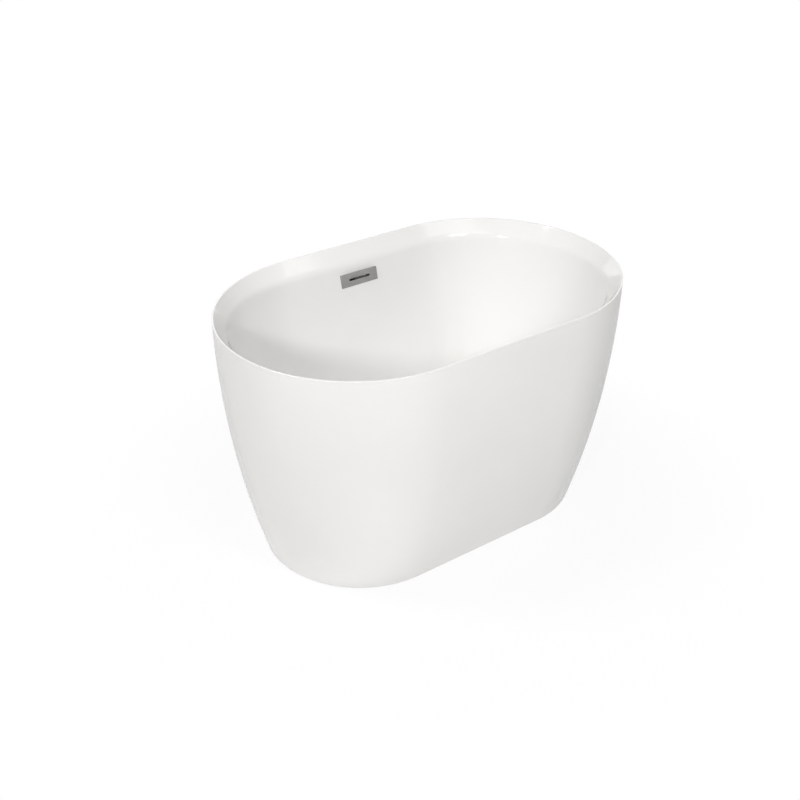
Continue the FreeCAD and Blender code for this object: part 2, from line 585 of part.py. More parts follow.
def ring_nuts(label, z):
    """Four hexagon nuts on the studs, welded or screwed up against the frame."""
    nuts = []
    for name, x_sign, y_sign in corners():
        x = f"{x_sign} * {CROSSBAR_X}"
        y = f"{y_sign} * {FOOT_Y}"
        blank = hexagon(f"{label}_blank_{name}", "sizes.nut_radius", "sizes.nut_height", x, y, z)
        bore = cylinder(f"{label}_bore_{name}", "sizes.stud_radius + sizes.thread_clearance",
                        "sizes.nut_height", x, y, z)
        nuts.append(cut(f"{label}_{name}", blank, bore))
    return group(label, nuts)


def foot_pad(name, x_sign, y_sign):
    """A round levelling pad with a socket that holds the ball of its stud."""
    body = new_body(f"foot_pad_{name}")
    half = new_sketch(body, "half", "XZ_Plane")
    ball_room = "sizes.ball_radius + sizes.socket_clearance"
    neck_room = "sizes.neck_radius + sizes.socket_clearance"
    floor = "sizes.ball_start - sizes.socket_clearance"
    roof = "sizes.ball_start + sizes.ball_height + sizes.socket_clearance"
    shoulder = f"{roof} + sizes.socket_clearance"
    draw_outline(half, [
        ("0", "0"), ("sizes.pad_radius", "0"), ("sizes.pad_radius", "sizes.pad_edge"),
        ("sizes.pad_neck_radius", shoulder), ("sizes.pad_neck_radius", "sizes.pad_height"),
        (neck_room, "sizes.pad_height"), (neck_room, roof), (ball_room, roof), (ball_room, floor),
        ("0", floor),
    ])
    revolve(body, half)
    place(body, f"{x_sign} * {CROSSBAR_X}", f"{y_sign} * {FOOT_Y}")
    return keep(body, f"foot_pad_{name}")


def foot_stud(name, x_sign, y_sign):
    """A levelling stud: ball foot, neck, spanner grip and screwed shank."""
    body = new_body(f"foot_stud_{name}")
    half = new_sketch(body, "half", "XZ_Plane")
    ball_top = "sizes.ball_start + sizes.ball_height"
    grip_top = "sizes.stud_grip_start + sizes.stud_grip_height"
    stud_top = f"{FRAME_TOP} - sizes.tube_wall - sizes.stud_top_gap"
    draw_outline(half, [
        ("0", "sizes.ball_start"), ("sizes.ball_radius", "sizes.ball_start"), ("sizes.ball_radius", ball_top),
        ("sizes.neck_radius", ball_top), ("sizes.neck_radius", grip_top), ("sizes.stud_radius", grip_top),
        ("sizes.stud_radius", stud_top), ("0", stud_top),
    ])
    revolve(body, half)
    grip = new_sketch(body, "grip", "XY_Plane", "sizes.stud_grip_start")
    across = "sizes.stud_grip_radius * sqrt(3) / 2"
    draw_outline(grip, [
        ("sizes.stud_grip_radius", "0"), ("sizes.stud_grip_radius / 2", across),
        ("-sizes.stud_grip_radius / 2", across), ("-sizes.stud_grip_radius", "0"),
        ("-sizes.stud_grip_radius / 2", f"-{across}"), ("sizes.stud_grip_radius / 2", f"-{across}"),
    ])
    pad(body, grip, "sizes.stud_grip_height")
    place(body, f"{x_sign} * {CROSSBAR_X}", f"{y_sign} * {FOOT_Y}")
    return keep(body, f"foot_stud_{name}")


def facing(y_sign):
    """A half turn for what faces the front, and none for what faces the back."""
    return Rotation(Z_AXIS, 180 if y_sign == "-1" else 0)


def skirt_bracket(name, x_sign, y_sign):
    """An L-shaped strap from the end of a crossbar down to the skirt's flange."""
    body = new_body(f"skirt_bracket_{name}")
    side = new_sketch(body, "side", "YZ_Plane")
    draw_outline(side, [
        ("0", BRACKET_LOW), (BRACKET_FOOT, BRACKET_LOW),
        (BRACKET_FOOT, f"{BRACKET_LOW} + sizes.bracket_thickness"),
        ("sizes.bracket_thickness", f"{BRACKET_LOW} + sizes.bracket_thickness"),
        ("sizes.bracket_thickness", FRAME_TOP), ("0", FRAME_TOP),
    ])
    pad(body, side, "sizes.bracket_width", midplane=True)
    bolt_hole = new_sketch(body, "bolt_hole", "XZ_Plane", "sizes.cut_overrun")
    draw_circle(bolt_hole, "sizes.bracket_bolt_radius + sizes.screw_clearance", y=FRAME_MIDDLE)
    pocket(body, bolt_hole, "sizes.bracket_thickness + 2 * sizes.cut_overrun")
    screw_hole = new_sketch(body, "screw_hole", "XY_Plane", f"{BRACKET_LOW} - sizes.cut_overrun")
    draw_circle(screw_hole, "sizes.bracket_screw_radius + sizes.screw_clearance",
                y=f"{BRACKET_FOOT} - sizes.bracket_screw_inset")
    pocket(body, screw_hole, "sizes.bracket_thickness + 2 * sizes.cut_overrun", reverse=True)
    place(body, f"{x_sign} * {CROSSBAR_X}", f"{y_sign} * {CROSSBAR_LENGTH} / 2", rotation=facing(y_sign))
    return keep(body, f"skirt_bracket_{name}")


def crossbar_inserts():
    """Plastic plugs in the ends of the crossbars, each with a hole for the bracket bolt."""
    inserts = []
    side = "sizes.tube_side - 2 * sizes.tube_wall - 2 * sizes.insert_clearance"
    for name, x_sign, y_sign in corners():
        body = new_body(f"crossbar_insert_{name}")
        section = new_sketch(body, "section", "XZ_Plane")
        draw_rectangle(section, side, side)
        draw_circle(section, "sizes.bracket_bolt_radius + sizes.thread_clearance")
        pad(body, section, "sizes.insert_length")
        place(body, f"{x_sign} * {CROSSBAR_X}", f"{y_sign} * {CROSSBAR_LENGTH} / 2", FRAME_MIDDLE,
              facing(y_sign))
        inserts.append(body)
    return group("crossbar_inserts", inserts)


def bracket_bolts():
    """Bolts that hold the brackets to the crossbar ends."""
    bolts = []
    outward = Rotation(X_AXIS, -90)
    for name, x_sign, y_sign in corners():
        head = hexagon(f"bracket_bolt_head_{name}", "sizes.bracket_bolt_head_radius",
                       "sizes.bracket_bolt_head", y="sizes.bracket_thickness", rotation=outward)
        shank = cylinder(f"bracket_bolt_shank_{name}", "sizes.bracket_bolt_radius",
                         "sizes.insert_length + sizes.bracket_thickness", y="-sizes.insert_length",
                         rotation=outward)
        bolt = doc.addObject("Part::Fuse", f"bracket_bolt_{name}")
        bolt.Base = head
        bolt.Tool = shank
        place(bolt, f"{x_sign} * {CROSSBAR_X}", f"{y_sign} * {CROSSBAR_LENGTH} / 2", FRAME_MIDDLE,
              facing(y_sign))
        bolts.append(bolt)
    return group("bracket_bolts", bolts)


def bracket_screws():
    """Screws that hold the skirt's flange to the brackets."""
    screws = []
    foot_top = f"{BRACKET_LOW} + sizes.bracket_thickness"
    for name, x_sign, y_sign in corners():
        x = f"{x_sign} * {CROSSBAR_X}"
        y = f"{y_sign} * {BRACKET_SCREW_Y}"
        head = cylinder(f"bracket_screw_head_{name}", "sizes.bracket_screw_head_radius",
                        "sizes.bracket_screw_head", x, y, foot_top)
        shank = cylinder(f"bracket_screw_shank_{name}", "sizes.bracket_screw_radius",
                         "sizes.skirt_thickness + sizes.bracket_thickness", x, y, "sizes.floor_gap")
        screw = doc.addObject("Part::Fuse", f"bracket_screw_{name}")
        screw.Base = head
        screw.Tool = shank
        screws.append(screw)
    return group("bracket_screws", screws)


def waste_flange():
    """The drain flange with its screwed tube and the spider that carries the plug cartridge."""
    body = new_body("waste_flange")
    half = new_sketch(body, "half", "XZ_Plane")
    tube_end = f"{FLANGE_SEAT} - sizes.waste_tube_length"
    draw_outline(half, [
        ("sizes.waste_tube_bore", tube_end), ("sizes.waste_tube_radius", tube_end),
        ("sizes.waste_tube_radius", FLANGE_SEAT), ("sizes.flange_radius", FLANGE_SEAT),
        ("sizes.flange_radius", f"{FLANGE_SEAT} + sizes.flange_thickness / 2"),
        ("sizes.flange_radius - sizes.flange_thickness", FLANGE_TOP),
        ("sizes.waste_tube_bore + sizes.flange_thickness", FLANGE_TOP),
        ("sizes.waste_tube_bore", FLANGE_SEAT),
    ])
    revolve(body, half)
    spider_low = f"{CARTRIDGE_SEAT} - sizes.spider_height"
    rib_span = "2 * sizes.waste_tube_bore + (sizes.waste_tube_radius - sizes.waste_tube_bore)"
    ribs = (("rib_x", rib_span, "sizes.spider_rib"), ("rib_y", "sizes.spider_rib", rib_span))
    for name, wide, deep in ribs:
        rib = new_sketch(body, name, "XY_Plane", spider_low)
        draw_rectangle(rib, wide, deep)
        pad(body, rib, "sizes.spider_height")
    hub = new_sketch(body, "hub", "XY_Plane", spider_low)
    draw_circle(hub, "sizes.hub_radius")
    pad(body, hub, "sizes.spider_height")
    bore = new_sketch(body, "hub_bore", "XY_Plane", f"{spider_low} - sizes.cut_overrun")
    draw_circle(bore, "sizes.cartridge_radius + sizes.cartridge_fit")
    pocket(body, bore, "sizes.spider_height + 2 * sizes.cut_overrun", reverse=True)
    return keep(body, "waste_flange")


def waste_body():
    """The waste body under the floor, with a branch for the overflow and a spigot for the drain."""
    body = new_body("waste_body")
    half = new_sketch(body, "half", "XZ_Plane")
    collar_low = f"{COLLAR_TOP} - sizes.collar_height"
    tail_top = f"{BODY_LOW} - sizes.tail_cone"
    thread_end = f"{FLANGE_SEAT} - sizes.waste_tube_length - sizes.screw_clearance"
    thread = "sizes.waste_tube_radius + sizes.screw_fit"
    draw_outline(half, [
        (TAIL_BORE, "sizes.tail_above_floor"), ("sizes.tail_radius", "sizes.tail_above_floor"),
        ("sizes.tail_radius", tail_top), (WASTE_BODY_RADIUS, BODY_LOW), (WASTE_BODY_RADIUS, collar_low),
        ("sizes.collar_radius", collar_low), ("sizes.collar_radius", COLLAR_TOP), (thread, COLLAR_TOP),
        (thread, thread_end), ("sizes.waste_tube_bore", thread_end), ("sizes.waste_tube_bore", BODY_LOW),
        (TAIL_BORE, tail_top),
    ])
    revolve(body, half)
    branch = new_sketch(body, "branch", "XZ_Plane", "-sizes.branch_reach")
    draw_circle(branch, "sizes.branch_radius", y=BRANCH_LEVEL)
    pad(body, branch, f"sizes.branch_reach - (sizes.waste_tube_bore + {WASTE_BODY_RADIUS}) / 2")
    socket = new_sketch(body, "socket", "XZ_Plane", "-sizes.branch_reach - sizes.cut_overrun")
    draw_circle(socket, PIPE_BORE, y=BRANCH_LEVEL)
    pocket(body, socket, "sizes.branch_socket + sizes.cut_overrun", reverse=True)
    passage = new_sketch(body, "passage", "XZ_Plane", "-sizes.branch_reach")
    draw_circle(passage, "sizes.pipe_radius - sizes.pipe_wall", y=BRANCH_LEVEL)
    pocket(body, passage, "sizes.branch_reach", reverse=True)
    return keep(body, "waste_body")


def plug_cartridge():
    """The closed sleeve that guides the plug's plunger and holds its spring."""
    body = new_body("plug_cartridge")
    half = new_sketch(body, "half", "XZ_Plane")
    top = f"{CARTRIDGE_SEAT} + sizes.cartridge_flange"
    floor = f"{CARTRIDGE_LOW} + sizes.cartridge_floor"
    cavity_top = f"{top} - sizes.cartridge_guide"
    guide = "sizes.plunger_radius + sizes.thread_clearance"
    draw_outline(half, [
        ("0", CARTRIDGE_LOW), ("sizes.cartridge_radius", CARTRIDGE_LOW),
        ("sizes.cartridge_radius", CARTRIDGE_SEAT), ("sizes.cartridge_flange_radius", CARTRIDGE_SEAT),
        ("sizes.cartridge_flange_radius", top), (guide, top), (guide, cavity_top),
        ("sizes.cartridge_bore", cavity_top), ("sizes.cartridge_bore", floor), ("0", floor),
    ])
    revolve(body, half)
    return keep(body, "plug_cartridge")


def plug_plunger():
    """The plunger: a piston in the cartridge and the stem that carries the cap."""
    body = new_body("plug_plunger")
    half = new_sketch(body, "half", "XZ_Plane")
    low = f"{CARTRIDGE_LOW} + sizes.piston_start"
    high = f"{low} + sizes.piston_height"
    draw_outline(half, [
        ("0", low), (PISTON_RADIUS, low), (PISTON_RADIUS, high), ("sizes.plunger_radius", high),
        ("sizes.plunger_radius", CAP_LOW), ("0", CAP_LOW),
    ])
    revolve(body, half)
    return keep(body, "plug_plunger")


def plug_spring():
    """The spring under the piston, held down while the plug is closed."""
    rise = "sizes.piston_start - sizes.cartridge_floor"
    coil = f"({rise} - 2 * sizes.spring_wire_radius - 2 * sizes.seat_clearance)"
    helix = doc.addObject("Part::Helix", "spring_line")
    helix.setExpression("Radius", SPRING_RADIUS)
    helix.setExpression("Height", coil)
    helix.setExpression("Pitch", f"{coil} / sizes.spring_turns")
    wire = doc.addObject("Part::Circle", "spring_wire")
    wire.setExpression("Radius", "sizes.spring_wire_radius")
    wire.Placement = Placement(Vector(0, 0, 0), Rotation(X_AXIS, 90))
    wire.setExpression("Placement.Base.x", SPRING_RADIUS)
    spring = doc.addObject("Part::Sweep", "plug_spring")
    spring.Sections = [wire]
    spring.Spine = (helix, ["Edge1"])
    spring.Solid = True
    spring.Frenet = True
    start = f"{CARTRIDGE_LOW} + sizes.cartridge_floor + sizes.spring_wire_radius + sizes.seat_clearance"
    place(spring, z=start)
    return keep(spring, "plug_spring")


def plug_cap():
    """The domed cap that covers the drain."""
    body = new_body("plug_cap")
    half = new_sketch(body, "half", "XZ_Plane")
    radius = length("sizes.cap_radius")
    low = length(CAP_LOW)
    edge_top = length(f"{CAP_LOW} + sizes.cap_edge")
    dome = length("sizes.cap_dome")
    bow = (radius ** 2 + dome ** 2) / (2 * dome)
    centre = Vector(0, edge_top + dome - bow, 0)
    sole = half.addGeometry(Part.LineSegment(Vector(0, low, 0), Vector(radius, low, 0)), False)
    edge = half.addGeometry(Part.LineSegment(Vector(radius, low, 0), Vector(radius, edge_top, 0)), False)
    start = math.asin((edge_top - centre.y) / bow)
    crown = half.addGeometry(Part.ArcOfCircle(Part.Circle(centre, Z_AXIS, bow), start, QUARTER), False)
    middle = half.addGeometry(Part.LineSegment(Vector(0, edge_top + dome, 0), Vector(0, low, 0)), False)
    half.addConstraint([
        Constraint("Coincident", sole, 2, edge, 1),
        Constraint("Coincident", edge, 2, crown, 1),
        Constraint("Coincident", crown, 2, middle, 1),
        Constraint("Coincident", middle, 2, sole, 1),
        Constraint("Vertical", edge),
        Constraint("PointOnObject", crown, 3, -2),
    ])
    locate(half, sole, 1, "0", CAP_LOW)
    locate(half, sole, 2, "sizes.cap_radius", CAP_LOW)
    locate(half, edge, 2, None, f"{CAP_LOW} + sizes.cap_edge")
    locate(half, middle, 1, "0", f"{CAP_LOW} + sizes.cap_edge + sizes.cap_dome")
    revolve(body, half)
    return keep(body, "plug_cap")


def put_on_wall(item):
    """Places a fitting on the back wall: its XY plane on the wall's face, its Z axis into the basin."""
    lean = math.degrees(math.atan2(length(WALL_RISE), length("sizes.wall_run")))
    place(item, "0", COVER_Y, COVER_Z, Rotation(X_AXIS, lean))


def overflow_cover():
    """The flat cover plate with its long slot, hollow behind to hide the inner frame."""
    body = new_body("overflow_cover")
    plate = new_sketch(body, "plate", "XY_Plane")
    draw_rectangle(plate, "sizes.cover_length", "sizes.cover_height")
    blank = pad(body, plate, "sizes.cover_thickness")
    face_edges = level_edges(blank.Shape, length("sizes.cover_thickness"))
    bevel = body.newObject("PartDesign::Fillet", "cover_face_edge")
    bevel.Base = (blank, face_edges)
    bevel.setExpression("Radius", "sizes.cover_edge")
    doc.recompute()
    recess = new_sketch(body, "recess", "XY_Plane", "-sizes.cut_overrun")
    draw_rectangle(recess, "sizes.cover_length - 2 * sizes.cover_border",
                   "sizes.cover_height - 2 * sizes.cover_border")
    pocket(body, recess, "sizes.cover_recess + sizes.cut_overrun", reverse=True)
    slot = new_sketch(body, "slot", "XY_Plane")
    draw_rectangle(slot, "sizes.slot_length", "sizes.slot_height")
    pocket(body, slot, "sizes.cover_thickness + sizes.cut_overrun", reverse=True)
    put_on_wall(body)
    return keep(body, "overflow_cover")


def overflow_inner_frame():
    """The frame behind the cover: a thin flange on the wall and a throat through it."""
    body = new_body("overflow_inner_frame")
    flange = new_sketch(body, "flange", "XY_Plane")
    draw_rectangle(flange, FRAME_FLANGE_LENGTH, FRAME_FLANGE_HEIGHT)
    pad(body, flange, "sizes.frame_flange")
    throat = new_sketch(body, "throat", "XY_Plane")
    draw_rectangle(throat, THROAT_LENGTH, THROAT_HEIGHT)
    pad(body, throat, "sizes.throat_depth", reverse=True)
    way = new_sketch(body, "way", "XY_Plane", "sizes.frame_flange + sizes.cut_overrun")
    draw_rectangle(way, f"{THROAT_LENGTH} - 2 * sizes.throat_wall",
                   f"{THROAT_HEIGHT} - 2 * sizes.throat_wall")
    pocket(body, way, "sizes.frame_flange + sizes.throat_depth + 2 * sizes.cut_overrun")
    holes = new_sketch(body, "screw_holes", "XY_Plane", "sizes.frame_flange + sizes.cut_overrun")
    for x_sign in SIDES.values():
        draw_circle(holes, "sizes.overflow_screw_radius + sizes.screw_clearance",
                    f"{x_sign} * {OVERFLOW_SCREW_X}")
    pocket(body, holes, "sizes.frame_flange + 2 * sizes.cut_overrun")
    put_on_wall(body)
    return keep(body, "overflow_inner_frame")


def overflow_screws():
    """The two screws that draw the overflow box against the back of the wall."""
    screws = []
    for side, x_sign in SIDES.items():
        body = new_body(f"overflow_screw_{side}")
        shank = new_sketch(body, "shank", "XY_Plane", "sizes.frame_flange")
        draw_circle(shank, "sizes.overflow_screw_radius", f"{x_sign} * {OVERFLOW_SCREW_X}")
        pad(body, shank, "sizes.overflow_screw_length", reverse=True)
        head = new_sketch(body, "head", "XY_Plane", "sizes.frame_flange")
        draw_circle(head, "sizes.overflow_screw_head_radius", f"{x_sign} * {OVERFLOW_SCREW_X}")
        pad(body, head, "sizes.overflow_screw_head")
        put_on_wall(body)
        screws.append(body)
    return group("overflow_screws", screws)


def overflow_gasket():
    """The rubber frame between the back of the wall and the overflow box."""
    body = new_body("overflow_gasket")
    frame = new_sketch(body, "frame", "XY_Plane", f"-{WALL_THROUGH}")
    draw_rectangle(frame, GASKET_LENGTH, GASKET_HEIGHT)
    draw_rectangle(frame, HOLE_LENGTH, HOLE_HEIGHT)
    pad(body, frame, "sizes.gasket_thickness", reverse=True)
    put_on_wall(body)
    return keep(body, "overflow_gasket")


def overflow_box():
    """The box behind the wall that gathers the overflow water and sends it down the pipe."""
    body = new_body("overflow_box")
    flange = new_sketch(body, "flange", "XY_Plane", f"-{BOX_FRONT}")
    draw_rectangle(flange, GASKET_LENGTH, GASKET_HEIGHT)
    pad(body, flange, "sizes.box_flange", reverse=True)
    box = new_sketch(body, "box", "XY_Plane", f"-{BOX_FRONT}")
    draw_rectangle(box, BOX_LENGTH, BOX_HEIGHT)
    pad(body, box, "sizes.box_depth", reverse=True)
    outlet = new_sketch(body, "outlet", "XZ_Plane", f"{BOX_HEIGHT} / 2 - sizes.box_wall")
    draw_circle(outlet, "sizes.outlet_radius", y="-sizes.outlet_setback")
    pad(body, outlet, "sizes.outlet_length + sizes.box_wall")
    cavity = new_sketch(body, "cavity", "XY_Plane", f"-{BOX_FRONT} + sizes.cut_overrun")
    draw_rectangle(cavity, BOX_CAVITY_LENGTH, BOX_CAVITY_HEIGHT)
    pocket(body, cavity, "sizes.box_depth - sizes.box_wall + sizes.cut_overrun")
    way = new_sketch(body, "way", "XZ_Plane")
    draw_circle(way, "sizes.pipe_radius - sizes.pipe_wall", y="-sizes.outlet_setback")
    pocket(body, way, f"{OUTLET_DOWN} + sizes.cut_overrun", reverse=True)
    socket = new_sketch(body, "socket", "XZ_Plane", f"{OUTLET_DOWN} - sizes.outlet_socket")
    draw_circle(socket, PIPE_BORE, y="-sizes.outlet_setback")
    pocket(body, socket, "sizes.outlet_socket + sizes.cut_overrun", reverse=True)
    bores = new_sketch(body, "screw_bores", "XY_Plane", f"-{BOX_FRONT} + sizes.cut_overrun")
    for x_sign in SIDES.values():
        draw_circle(bores, "sizes.overflow_screw_radius + sizes.thread_clearance",
                    f"{x_sign} * {OVERFLOW_SCREW_X}")
    bore_depth = f"sizes.overflow_screw_length - sizes.frame_flange + sizes.screw_clearance - {BOX_FRONT}"
    pocket(body, bores, f"{bore_depth} + sizes.cut_overrun")
    put_on_wall(body)
    return keep(body, "overflow_box")


def overflow_pipe():
    """The rigid pipe between the walls, from the overflow box down and across to the waste body."""
    body = new_body("overflow_pipe")
    path = new_sketch(body, "path", "YZ_Plane")
    lean = math.atan2(length(WALL_RISE), length("sizes.wall_run"))
    bend = length("sizes.pipe_bend")
    low = Vector(length(PIPE_LOW_Y), length(BRANCH_LEVEL), 0)
    top = Vector(length(PIPE_TOP_Y), length(PIPE_TOP_Z), 0)
    corner = Vector(length(PIPE_CORNER_Y), low.y, 0)
    reach = bend * math.tan(lean / 2)
    first = corner - Vector(reach, 0, 0)
    second = corner + Vector(math.cos(lean), math.sin(lean), 0) * reach
    circle = Part.Circle(first + Vector(0, bend, 0), Z_AXIS, bend)
    run = path.addGeometry(Part.LineSegment(low, first), False)
    elbow = path.addGeometry(Part.ArcOfCircle(circle, -QUARTER, lean - QUARTER), False)
    riser = path.addGeometry(Part.LineSegment(second, top), False)
    path.addConstraint([
        Constraint("Tangent", run, 2, elbow, 1),
        Constraint("Tangent", elbow, 2, riser, 1),
        Constraint("Horizontal", run),
    ])
    locate(path, run, 1, PIPE_LOW_Y, BRANCH_LEVEL)
    locate(path, riser, 2, PIPE_TOP_Y, PIPE_TOP_Z)
    bind(path, "Radius", elbow, "sizes.pipe_bend")
    angle = path.addConstraint(Constraint("Angle", riser, lean))
    path.setExpression(f"Constraints[{angle}]", f"atan({WALL_RISE} / sizes.wall_run)")
    section = new_sketch(body, "section", "XZ_Plane", f"-{PIPE_LOW_Y}")
    draw_circle(section, "sizes.pipe_radius", y=BRANCH_LEVEL)
    draw_circle(section, "sizes.pipe_radius - sizes.pipe_wall", y=BRANCH_LEVEL)
    sweep(body, section, path)
    return keep(body, "overflow_pipe")


def pipe_nut(label):
    """An eight-sided compression nut with its foot on its own XY plane."""
    blank = doc.addObject("Part::Prism", f"{label}_blank")
    blank.Polygon = 8
    blank.setExpression("Circumradius", "sizes.pipe_nut_radius")
    blank.setExpression("Height", "sizes.pipe_nut_height")
    bore = cylinder(f"{label}_bore", PIPE_BORE, "sizes.pipe_nut_height")
    return keep(cut(label, blank, bore), label)


def overflow_upper_nut():
    """The nut on the pipe, screwed up against the overflow box's outlet."""
    nut = pipe_nut("overflow_upper_nut")
    lean = math.degrees(math.atan2(length(WALL_RISE), length("sizes.wall_run")))
    place(nut, "0", f"{COVER_Y} - {OUTLET_DOWN} * {LEAN_SIN} + sizes.outlet_setback * {LEAN_COS}",
          f"{COVER_Z} - {OUTLET_DOWN} * {LEAN_COS} - sizes.outlet_setback * {LEAN_SIN}",
          Rotation(X_AXIS, lean + 90))
    return nut


def overflow_lower_nut():
    """The nut on the pipe, screwed up against the waste body's branch."""
    nut = pipe_nut("overflow_lower_nut")
    place(nut, "0", "sizes.branch_reach", BRANCH_LEVEL, Rotation(X_AXIS, -90))
    return nut


outer_skirt()
inner_basin()
rim_bond_bead()
base_board()
for face, y_sign in FACES.items():
    frame_rail(face, y_sign)
for side, x_sign in SIDES.items():
    frame_crossbar(side, x_sign)
board_screws()
ring_nuts("frame_weld_nuts", f"{FRAME_BOTTOM} - sizes.nut_height")
ring_nuts("foot_lock_nuts", f"{FRAME_BOTTOM} - 2 * sizes.nut_height")
for name, x_sign, y_sign in corners():
    foot_pad(name, x_sign, y_sign)
    foot_stud(name, x_sign, y_sign)
    skirt_bracket(name, x_sign, y_sign)
crossbar_inserts()
bracket_bolts()
bracket_screws()
waste_flange()
ring("waste_upper_seal", "sizes.flange_radius - sizes.upper_seal", DRAIN_HOLE, "sizes.upper_seal",
     "sizes.basin_floor_height")
ring("waste_lower_seal", "sizes.collar_radius - sizes.upper_seal", DRAIN_HOLE, "sizes.lower_seal",
     COLLAR_TOP)
waste_body()
plug_cartridge()
plug_plunger()
plug_spring()
plug_cap()
ring("plug_seal", "sizes.plug_seal_outer", "sizes.plug_seal_inner", "sizes.cap_gap - sizes.plug_seal_gap",
     f"{FLANGE_TOP} + sizes.plug_seal_gap")
overflow_cover()
overflow_inner_frame()
overflow_screws()
overflow_gasket()
overflow_box()
overflow_pipe()
overflow_upper_nut()
overflow_lower_nut()
doc.recompute()

for item in doc.Objects:
    if "Invalid" in item.State or "Error" in item.State:
        raise RuntimeError(f"{item.Label} failed: {item.State}")
for node in nodes:
    if node.Shape.isNull() or not node.Shape.isValid():
        raise RuntimeError(f"{node.Label} has no valid shape")

os.makedirs("parts", exist_ok=True)
for node in nodes:
    node.Shape.exportStep(f"parts/{node.Label}.step")
    print(f"{node.Label}: {len(node.Shape.Solids)} solid(s), {node.Shape.Volume:.0f} mm3")
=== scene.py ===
import json
import math

import bpy
import numpy as np
from bpy.props import FloatProperty, FloatVectorProperty, PointerProperty
from mathutils import Matrix, Vector


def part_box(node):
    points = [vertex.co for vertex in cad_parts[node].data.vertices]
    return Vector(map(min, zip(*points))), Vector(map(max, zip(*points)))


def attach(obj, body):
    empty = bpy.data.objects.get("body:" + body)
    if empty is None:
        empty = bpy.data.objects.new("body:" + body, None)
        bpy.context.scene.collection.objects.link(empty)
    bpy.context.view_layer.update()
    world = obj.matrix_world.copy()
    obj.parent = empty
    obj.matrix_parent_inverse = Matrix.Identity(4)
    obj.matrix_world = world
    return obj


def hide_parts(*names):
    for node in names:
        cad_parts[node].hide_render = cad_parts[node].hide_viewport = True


bl_info = {
    "name": "Freestanding Bathtub",
    "version": (1, 0, 0),
    "blender": (4, 5, 0),
    "location": "View3D > Sidebar > Bathtub",
    "description": "Builds the visible shells, fittings and finishes of a small freestanding acrylic bathtub",
    "category": "Object",
}

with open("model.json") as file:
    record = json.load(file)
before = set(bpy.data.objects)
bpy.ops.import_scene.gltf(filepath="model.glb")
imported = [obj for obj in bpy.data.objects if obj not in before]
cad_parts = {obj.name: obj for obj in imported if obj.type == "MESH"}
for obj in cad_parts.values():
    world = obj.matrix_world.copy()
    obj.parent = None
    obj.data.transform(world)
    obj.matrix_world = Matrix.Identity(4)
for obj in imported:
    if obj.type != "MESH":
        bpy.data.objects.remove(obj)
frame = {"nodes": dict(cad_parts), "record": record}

SKIRT_LOW, SKIRT_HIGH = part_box("outer_skirt")
_, BASIN_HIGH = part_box("inner_basin")
CAP_LOW, CAP_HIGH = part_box("plug_cap")
FLANGE_LOW, FLANGE_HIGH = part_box("waste_flange")

# Steps once round a stadium: on each arc, on the near straight, and beside and along the overflow's hole
ARC_STEPS = 96
FRONT_STEPS = 24
SIDE_STEPS = 12
HOLE_STEPS = 8

# Rows down the skirt and the basin's wall, and how far they keep from the next edge, in metres or as a share
SKIRT_ROWS = 44
FOOT_CLEAR = 0.012
LEDGE_CLEAR = 0.008
SEAM_CLEAR = 0.006
WALL_ROWS = 14
HOLE_CLEAR_SHARE = 0.01

# Runs of the basin's chain of corners, and how far inside its floor's edge the flat floor has a row of points
FRONT_WALL_RUN, FLOOR_RUN, BACK_WALL_RUN = 4, 6, 10
FLOOR_RING = 0.1

# Steps of the roundings
EDGE_STEPS, FOOT_STEPS, LIP_STEPS = 4, 5, 6
CREASE_STEPS, UNDER_CREASE_STEPS, FLOOR_STEPS = 14, 10, 22
COVER_EDGE_STEPS, COVER_BACK_STEPS, TURNED_ROUND_STEPS = 6, 3, 5

# The largest share of a run that a row may keep from its end, and the shares of two more rows on a flat run
SUPPORT_SHARE = 0.2
FLAT_SHARES = (0.3, 0.6)

# A length that counts as none, and how far apart in x the ends of an upright edge of the hole may lie
NO_LENGTH = 1e-9
SAME_X = 1e-6

# Steps of the overflow cover's quarter turns and sides, and of the turned pieces
QUARTER_STEPS = 8
LONG_STEPS = 25
SHORT_STEPS = 9
DOME_ROWS = 22
TURNED_STEPS = 128
HUB_STEPS = 96

# Roundings in metres: the drain, the overflow cover, the plug cap, the waste flange and the spider's hub
DRAIN_ROUND, DRAIN_UNDER_ROUND = 0.0008, 0.0003
SLOT_ROUND, COVER_BACK_ROUND = 0.0003, 0.0002
SLOT_CORNER, HOLLOW_CORNER = 0.0006, 0.0005
CAP_ROUND, CAP_UNDER_ROUND = 0.0008, 0.0004
TUBE_END_ROUND, FLANGE_UNDER_ROUND = 0.0003, 0.0002
FLANGE_EDGE_ROUND, FLANGE_FACE_ROUND = 0.0006, 0.0008
HUB_BORE_ROUND, HUB_ROUND = 0.0003, 0.0004

# How far the dome's rows stop short of the cap's edge, the ring under the cap, and how far a rib is sunk in
CAP_CLEAR = 0.0012
CAP_RING = 0.024
HUB_SINK, TUBE_SINK = 0.0006, 0.0004

# How far the basin's wall comes in between crease and floor, and how far it falls, in millimetres
WALL_INWARD, WALL_FALL = 108, 467

